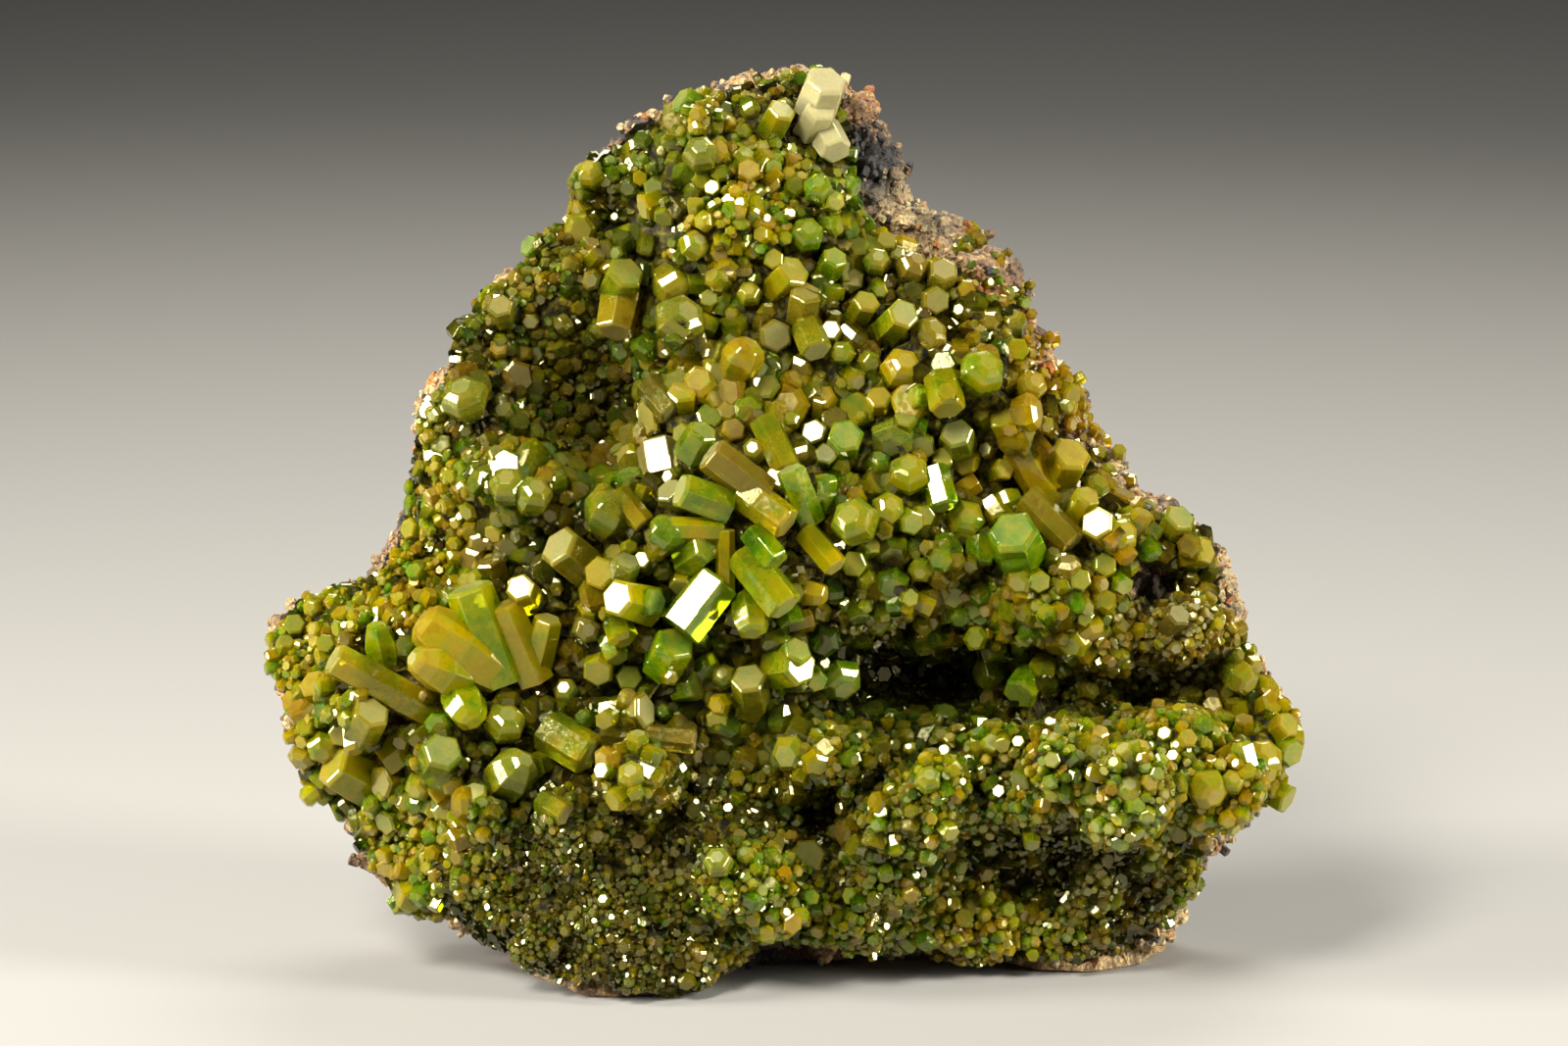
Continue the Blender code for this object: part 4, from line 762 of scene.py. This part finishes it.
# How the crust looks around a pixel: across, down, reach, crystal radius in mm, tint, greyness,
# paleness of the ends as painted sheen, and painted lightness: below 1 paints shade, above 1 lifts the painted shade of
# crevices.
zones = [
    (790, 100, 60, 0.70, 0.50, 0.35, 0.8, 1.15), (700, 170, 70, 0.80, 0.45, 0.35, 0.7, 1.00), (760, 230, 60, 0.70, 0.60, 0.05, 0.3, 1.30),
    (850, 250, 50, 0.85, 0.45, 0.20, 0.7, 1.00), (560, 280, 60, 0.60, 0.50, 0.45, 0.6, 1.00), (490, 390, 60, 0.85, 0.50, 0.55, 0.6, 0.80),
    (600, 400, 60, 0.55, 0.55, 0.60, 0.4, 0.50), (680, 310, 60, 1.20, 0.45, 0.25, 0.6, 0.95), (800, 320, 60, 1.30, 0.50, 0.30, 0.6, 1.00),
    (900, 330, 60, 1.20, 0.55, 0.20, 0.6, 1.00), (1000, 320, 60, 0.70, 0.65, 0.45, 0.6, 1.00), (960, 420, 60, 1.40, 0.60, 0.08, 0.4, 1.00),
    (1040, 430, 50, 1.20, 0.75, 0.15, 0.4, 1.00), (1110, 490, 40, 1.00, 0.65, 0.30, 0.5, 1.00), (430, 480, 50, 0.60, 0.55, 0.15, 0.4, 1.20),
    (420, 570, 50, 0.55, 0.60, 0.02, 0.3, 1.25), (540, 520, 60, 1.10, 0.45, 0.40, 0.6, 0.80), (300, 640, 50, 0.60, 0.60, 0.05, 0.3, 1.20),
    (1062, 360, 24, 0.60, 1.00, 0.10, 1.0, 1.30), (1095, 440, 24, 0.60, 1.00, 0.05, 1.0, 1.30), (750, 480, 90, 1.40, 0.50, 0.30, 0.6, 1.00), (680, 640, 70, 1.25, 0.50, 0.05, 0.3, 1.00), (880, 520, 60, 1.30, 0.45, 0.15, 0.6, 1.00),
    (960, 590, 60, 1.00, 0.50, 0.20, 0.6, 1.00), (1080, 600, 60, 1.00, 0.50, 0.15, 0.5, 1.00), (1190, 550, 60, 0.95, 0.60, 0.25, 0.6, 1.00),
    (1190, 650, 50, 0.50, 0.75, 0.70, 1.0, 2.20), (780, 720, 60, 1.20, 0.45, 0.20, 0.5, 1.00), (900, 700, 60, 0.70, 0.40, 0.20, 0.4, 0.50),
    (620, 740, 60, 1.05, 0.50, 0.25, 0.5, 1.00), (350, 770, 50, 1.10, 0.60, 0.08, 0.3, 1.00), (460, 790, 60, 1.10, 0.50, 0.20, 0.5, 1.00),
    (420, 860, 50, 0.60, 0.55, 0.10, 0.4, 1.00), (560, 890, 70, 0.40, 0.45, 0.55, 0.5, 0.60), (600, 980, 60, 0.38, 0.50, 0.60, 0.5, 0.50),
    (720, 840, 60, 0.45, 0.50, 0.40, 0.5, 0.55), (780, 900, 55, 0.60, 0.40, 0.10, 0.6, 1.10), (880, 830, 60, 0.65, 0.45, 0.25, 0.6, 0.75),
    (900, 930, 50, 0.55, 0.45, 0.20, 0.5, 0.70), (1010, 950, 50, 0.60, 0.60, 0.05, 0.4, 1.00), (970, 820, 50, 0.55, 0.40, 0.20, 0.7, 1.20),
    (1110, 800, 70, 0.65, 0.42, 0.30, 0.8, 1.35), (1080, 870, 50, 0.50, 0.50, 0.45, 0.6, 0.60), (1180, 800, 50, 0.60, 0.50, 0.25, 0.7, 1.30),
    (1290, 750, 50, 1.00, 0.55, 0.05, 0.4, 1.00), (1150, 930, 50, 0.50, 0.55, 0.60, 0.7, 0.60), (1190, 900, 30, 0.55, 0.50, 0.50, 0.8, 1.00),
]
druse = {
    "samples": 240000, "spacing": 0.52, "tilt": 0.42, "length": (0.7, 2.2), "small": (0.62, 0.72), "large": 1.25, "spread": 0.22,
    "least": 0.3 * mm, "most": 2.1 * mm, "seed": 11,
    # where they also stand on the rock, and how many of the places they take; where none grow
    "bare": [
        (592, 405, 75, 1), (985, 700, 175, 1), (1085, 897, 100, 1), (838, 826, 40, 1), (1045, 330, 40, 0.22), (1090, 410, 45, 0.22),
        (1005, 265, 35, 0.1), (1120, 480, 35, 0.1),
    ],
    "clear": [(1170, 592, 30), (630, 884, 12), (596, 706, 10), (676, 128, 9), (670, 158, 9)],
}


def zoneValues(places):
    table = np.array(zones, float)
    away = ((places[:, None, :2] - table[None, :, :2]) ** 2).sum(axis=2) / table[None, :, 2] ** 2
    weight = 1 / (0.15 + away) ** 2
    return (weight / weight.sum(axis=1, keepdims=True)) @ table[:, 3:8]


def surfaceSamples(mesh, count, random):
    # random places on a mesh, with its normals
    mesh.calc_loop_triangles()
    corners = np.zeros(len(mesh.loop_triangles) * 3, np.int32)
    mesh.loop_triangles.foreach_get("vertices", corners)
    corners = corners.reshape(-1, 3)
    points, normals = vectorsOf(mesh.vertices, "co"), vectorsOf(mesh.vertex_normals, "vector")
    a, b, c = (points[corners[:, i]] for i in range(3))
    area = np.linalg.norm(np.cross(b - a, c - a), axis=1)
    pick = random.choice(len(corners), count, p=area / area.sum())
    u, v = random.rand(count, 1), random.rand(count, 1)
    flip = (u + v) > 1
    u, v = np.where(flip, 1 - u, u), np.where(flip, 1 - v, v)
    normal = normals[corners[pick]].mean(axis=1)
    return a[pick] * (1 - u - v) + b[pick] * u + c[pick] * v, normal / np.linalg.norm(normal, axis=1, keepdims=True)


def spreadOut(spots, radii, spacing):
    # keeps the samples that stand clear enough of those kept before, the larger first
    cell = 2 * spacing * radii.max()
    around = [(x, y, z) for x in (-1, 0, 1) for y in (-1, 0, 1) for z in (-1, 0, 1)]
    cells = np.floor(spots / cell).astype(int)
    grid, kept = {}, []
    spots, reach = spots.tolist(), (radii * spacing).tolist()
    for index in np.argsort(-radii, kind="stable").tolist():
        a, b, c = spots[index]
        x, y, z = cells[index]
        near = [other for i, j, k in around for other in grid.get((x + i, y + j, z + k), ())]
        if all((p - a) ** 2 + (q - b) ** 2 + (r - c) ** 2 >= (size + reach[index]) ** 2 for p, q, r, size in near):
            grid.setdefault((x, y, z), []).append((a, b, c, reach[index]))
            kept.append(index)
    return kept


def druseSpots(random):
    spots, normals = surfaceSamples(crustPiece.data, druse["samples"], random)
    places = pixelsOf(spots)
    facing = normals @ toFront
    standing = np.array([rockTree.ray_cast(Vector(p + n * 0.3 * mm), Vector(n), 2.2 * mm)[0] is None for p, n in zip(spots, normals)])
    keep = standing & (facing > -0.6)
    for across, down, reach in druse["clear"]:
        keep &= (places[:, 0] - across) ** 2 + (places[:, 1] - down) ** 2 > reach ** 2
    spots, normals = spots[keep], normals[keep]
    bare, bareNormals = surfaceSamples(rockPiece.data, druse["samples"] // 2, random)
    where = pixelsOf(bare)
    held = np.zeros(len(bare), bool)
    for across, down, reach, share in druse["bare"]:
        held |= ((where[:, 0] - across) ** 2 + (where[:, 1] - down) ** 2 < reach ** 2) & (random.rand(len(bare)) < share)
    held &= bareNormals @ toFront > 0.1
    bare, bareNormals = bare[held], bareNormals[held]
    inSight = np.array([crustTree.ray_cast(Vector(p + n * 0.2 * mm), (eye - Vector(p)).normalized())[0] is None for p, n in zip(bare, bareNormals)], bool)
    return np.concatenate([spots, bare[inSight]]), np.concatenate([normals, bareNormals[inSight]])


def treeOfAll(pieces):
    work = bmesh.new()
    for piece in pieces:
        work.from_mesh(piece.data)
    tree = BVHTree.FromBMesh(work)
    work.free()
    return tree


shadeTree = treeOfAll([crustPiece, *shadePieces])


def insideOthers(crystals):
    # which of them have their tips in one of the larger crystals or before its end
    tips = np.array([crystal["tip"] for crystal in crystals])
    radii = np.array([crystal["radius"] for crystal in crystals])
    inside = np.zeros(len(tips), bool)
    for item in bigCrystals:
        away = tips - np.array(item["tip"])
        height = away @ np.array(item["axis"])
        aside = np.linalg.norm(away - height[:, None] * np.array(item["axis"]), axis=1)
        inside |= (aside < item["radius"] * 0.95 + radii * 0.4) & (height < 2.2 * mm) & (height > -item["length"])
    return inside


def opennessAt(spot, normal):
    # the share of the sky above a place that the crust and its crystals leave open within some millimetres
    turn = Vector(normal).to_track_quat("Z", "Y").to_matrix()
    start = Vector(spot) + Vector(normal) * 0.15 * mm
    free = 0
    for tilt, turns in ((0.35, 3), (0.9, 6)):
        for step in range(turns):
            around = 2 * math.pi * (step + tilt) / turns
            ray = turn @ Vector((math.sin(tilt) * math.cos(around), math.sin(tilt) * math.sin(around), math.cos(tilt)))
            free += shadeTree.ray_cast(start, ray, 7 * mm)[0] is None
    return free / 9


def makeDruse():
    random = np.random.RandomState(druse["seed"])
    spots, normals = druseSpots(random)
    places = pixelsOf(spots)
    values = zoneValues(places)
    # painted shade on the crystals in the gaps between the clusters
    values[:, 4] *= 1 - np.minimum(0.93, humpsAt(places, crust["gaps"]))
    share, scale = druse["small"]
    bulk = np.where(random.rand(len(spots)) < share, scale, druse["large"])
    radii = np.clip(values[:, 0] * bulk * np.exp(random.normal(0, druse["spread"], len(spots))) * mm, druse["least"], druse["most"])
    # few of the samples may start a large crystal, so that small ones fill in round them
    rare = random.rand(len(spots)) < 0.10
    radii = np.where((bulk > 1) & ~rare, np.clip(values[:, 0] * scale * mm, druse["least"], druse["most"]), radii)
    radii = np.where(normals @ toFront < 0.25, np.minimum(radii, 0.75 * mm), radii)
    crystals = []
    for index in spreadOut(spots, radii, druse["spacing"]):
        p, n, r = spots[index], normals[index], radii[index]
        axis = n + random.normal(0, druse["tilt"], 3)
        axis = axis / np.linalg.norm(axis)
        if axis @ n < 0.2:
            axis = n
        if p[2] < 1.0 * mm + r:
            continue
        size, tint, grey, sheenAndMilk, paintedShade = values[index]
        stand = min(r * random.uniform(*druse["length"]), 1.8 * mm)
        # painted shade, darker where the crust and its crystals close off more of the sky, as in crevices
        paintedShade *= 0.12 + 0.88 * opennessAt(p + axis * stand, n) ** 2
        form = ("plain", "small", "small")[random.randint(3)] if r < 0.5 * mm else ("prism", "blunt", "barrel", "barrel")[random.randint(4)]
        crystals.append({
            "form": form, "tip": p + axis * stand, "axis": axis, "roll": random.uniform(0, 1.05),
            "radius": r, "length": stand + 0.9 * mm, "flat": random.uniform(0.85, 1.15),
            "tint": float(np.clip(tint + random.normal(0, 0.2), 0, 1)), "grey": float(np.clip(grey * random.uniform(0.0, 1.5), 0, 1)),
            "sheenAndMilk": float(np.clip(sheenAndMilk * random.uniform(0.0, 1.2), 0, 1)), "paintedShade": float(min(1, paintedShade * random.uniform(0.7, 1.1))),
            "across": places[index][0], "down": places[index][1],
        })
    crystals = [crystal for crystal, hidden in zip(crystals, insideOthers(crystals)) if not hidden]
    bands = {
        "drusePeak": lambda c: c["down"] < 440, "druseMiddle": lambda c: 440 <= c["down"] < 720,
        "druseFootLeft": lambda c: c["down"] >= 720 and c["across"] < 800, "druseFootRight": lambda c: c["down"] >= 720 and c["across"] >= 800,
    }
    for name, belongs in bands.items():
        chosen = [c for c in crystals if belongs(c)]
        piece = newPiece(name, joinCrystals(name, chosen))
        print(name, len(chosen), "crystals", sum(len(face.vertices) - 2 for face in piece.data.polygons), "triangles")


makeDruse()

grains = {"samples": 60000, "least": 0.14, "most": 0.55, "spacing": 0.8, "seed": 5, "share": {"gossan": 0.22, "rust": 0.12, "cream": 0.4}}


def makeGrains():
    # crumbs of quartz and limonite that stand proud of the rock, at the rims that the front shows
    random = np.random.RandomState(grains["seed"])
    spots, normals = surfaceSamples(rockPiece.data, grains["samples"], random)
    facing = normals @ toFront
    shown = facing > -0.5
    spots, normals = spots[shown], normals[shown]
    bare = np.array([crustTree.ray_cast(Vector(p + n * 0.1 * mm), (eye - Vector(p)).normalized(), 30 * mm)[0] is None for p, n in zip(spots, normals)], bool)
    spots, normals = spots[bare & (spots[:, 2] > 1.2 * mm)], normals[bare & (spots[:, 2] > 1.2 * mm)]
    radii = (grains["least"] + (grains["most"] - grains["least"]) * random.rand(len(spots)) ** 3) * mm
    stains = stainsAt(pixelsOf(spots))
    crumbs = []
    for index in spreadOut(spots, radii, grains["spacing"]):
        axis = normals[index] * 0.7 + random.normal(0, 0.6, 3)
        axis = axis / np.linalg.norm(axis)
        crumbs.append({
            "form": ("small", "blunt")[random.randint(2)], "tip": spots[index] + normals[index] * radii[index] * 0.3, "axis": axis,
            "roll": random.uniform(0, 1.05), "radius": radii[index], "length": radii[index] * 2.2, "flat": random.uniform(0.7, 1.4),
            **{label: min(1.0, float(amounts[index]) * random.uniform(0.4, 1.2) + random.uniform(0.4, 1.0) * (random.rand() < grains["share"][label]))
               for label, amounts in stains.items()},
        })
    piece = newPiece("rockGrains", joinCrystals("rockGrains", crumbs, rockMaterial, tuple(stains)))
    print("rock grains:", len(crumbs), "with", sum(len(face.vertices) - 2 for face in piece.data.polygons), "triangles")


makeGrains()

studio = {
    "floor": "#959490", "world": 0.05,
    "lamps": {  # across, up and forward in metres, width and height, power
        "keyBox": (*keyPlace, 0.24, 0.24, 3.3),
        "leftStrip": (-0.60, 0.18, 0.14, 0.14, 0.36, 3.3),
        "rightStrip": (0.60, 0.14, 0.20, 0.14, 0.36, 3.2),
        "backBox": (0.10, 0.60, -0.30, 0.50, 0.20, 1.2),
    },
}


def makeStudio():
    work = bmesh.new()
    bmesh.ops.create_grid(work, x_segments=1, y_segments=1, size=3.0)
    mesh = bpy.data.meshes.new("floor")
    work.to_mesh(mesh)
    work.free()
    floor = bpy.data.objects.new("floor", mesh)
    bpy.context.scene.collection.objects.link(floor)
    material, tree, shader = newMaterial("paperSweep")
    shader.inputs["Base Color"].default_value = hexColour(studio["floor"])
    shader.inputs["Roughness"].default_value = 0.6
    mesh.materials.append(material)
    world = bpy.data.worlds.new("studioWorld")
    world.use_nodes = True
    world.node_tree.nodes["Background"].inputs["Strength"].default_value = studio["world"]
    world.node_tree.nodes["Background"].inputs["Color"].default_value = (1, 1, 1, 1)
    bpy.context.scene.world = world
    for name, (across, up, forward, width, height, power) in studio["lamps"].items():
        data = bpy.data.lights.new(name, "AREA")
        data.shape = "RECTANGLE"
        data.size, data.size_y, data.energy = width, height, power
        data.color = hexColour("#fffaf2")[:3]
        data.spread = math.radians(110)
        lamp = bpy.data.objects.new(name, data)
        bpy.context.scene.collection.objects.link(lamp)
        lamp.location = sightFrame @ Vector((across, up, forward))
        lamp.rotation_euler = (Vector((0, 0, 45 * mm)) - lamp.location).to_track_quat("-Z", "Y").to_euler()


def makeCamera():
    data = bpy.data.cameras.new("camera")
    data.lens = sight["lens"]
    data.sensor_width = sight["sensor"]
    data.clip_start = 0.01
    camera = bpy.data.objects.new("camera", data)
    bpy.context.scene.collection.objects.link(camera)
    camera.matrix_world = Matrix.Translation(eye) @ sightTurn
    bpy.context.scene.camera = camera
    bpy.context.scene.view_settings.view_transform = "Standard"


makeStudio()
makeCamera()
print("studio ready")
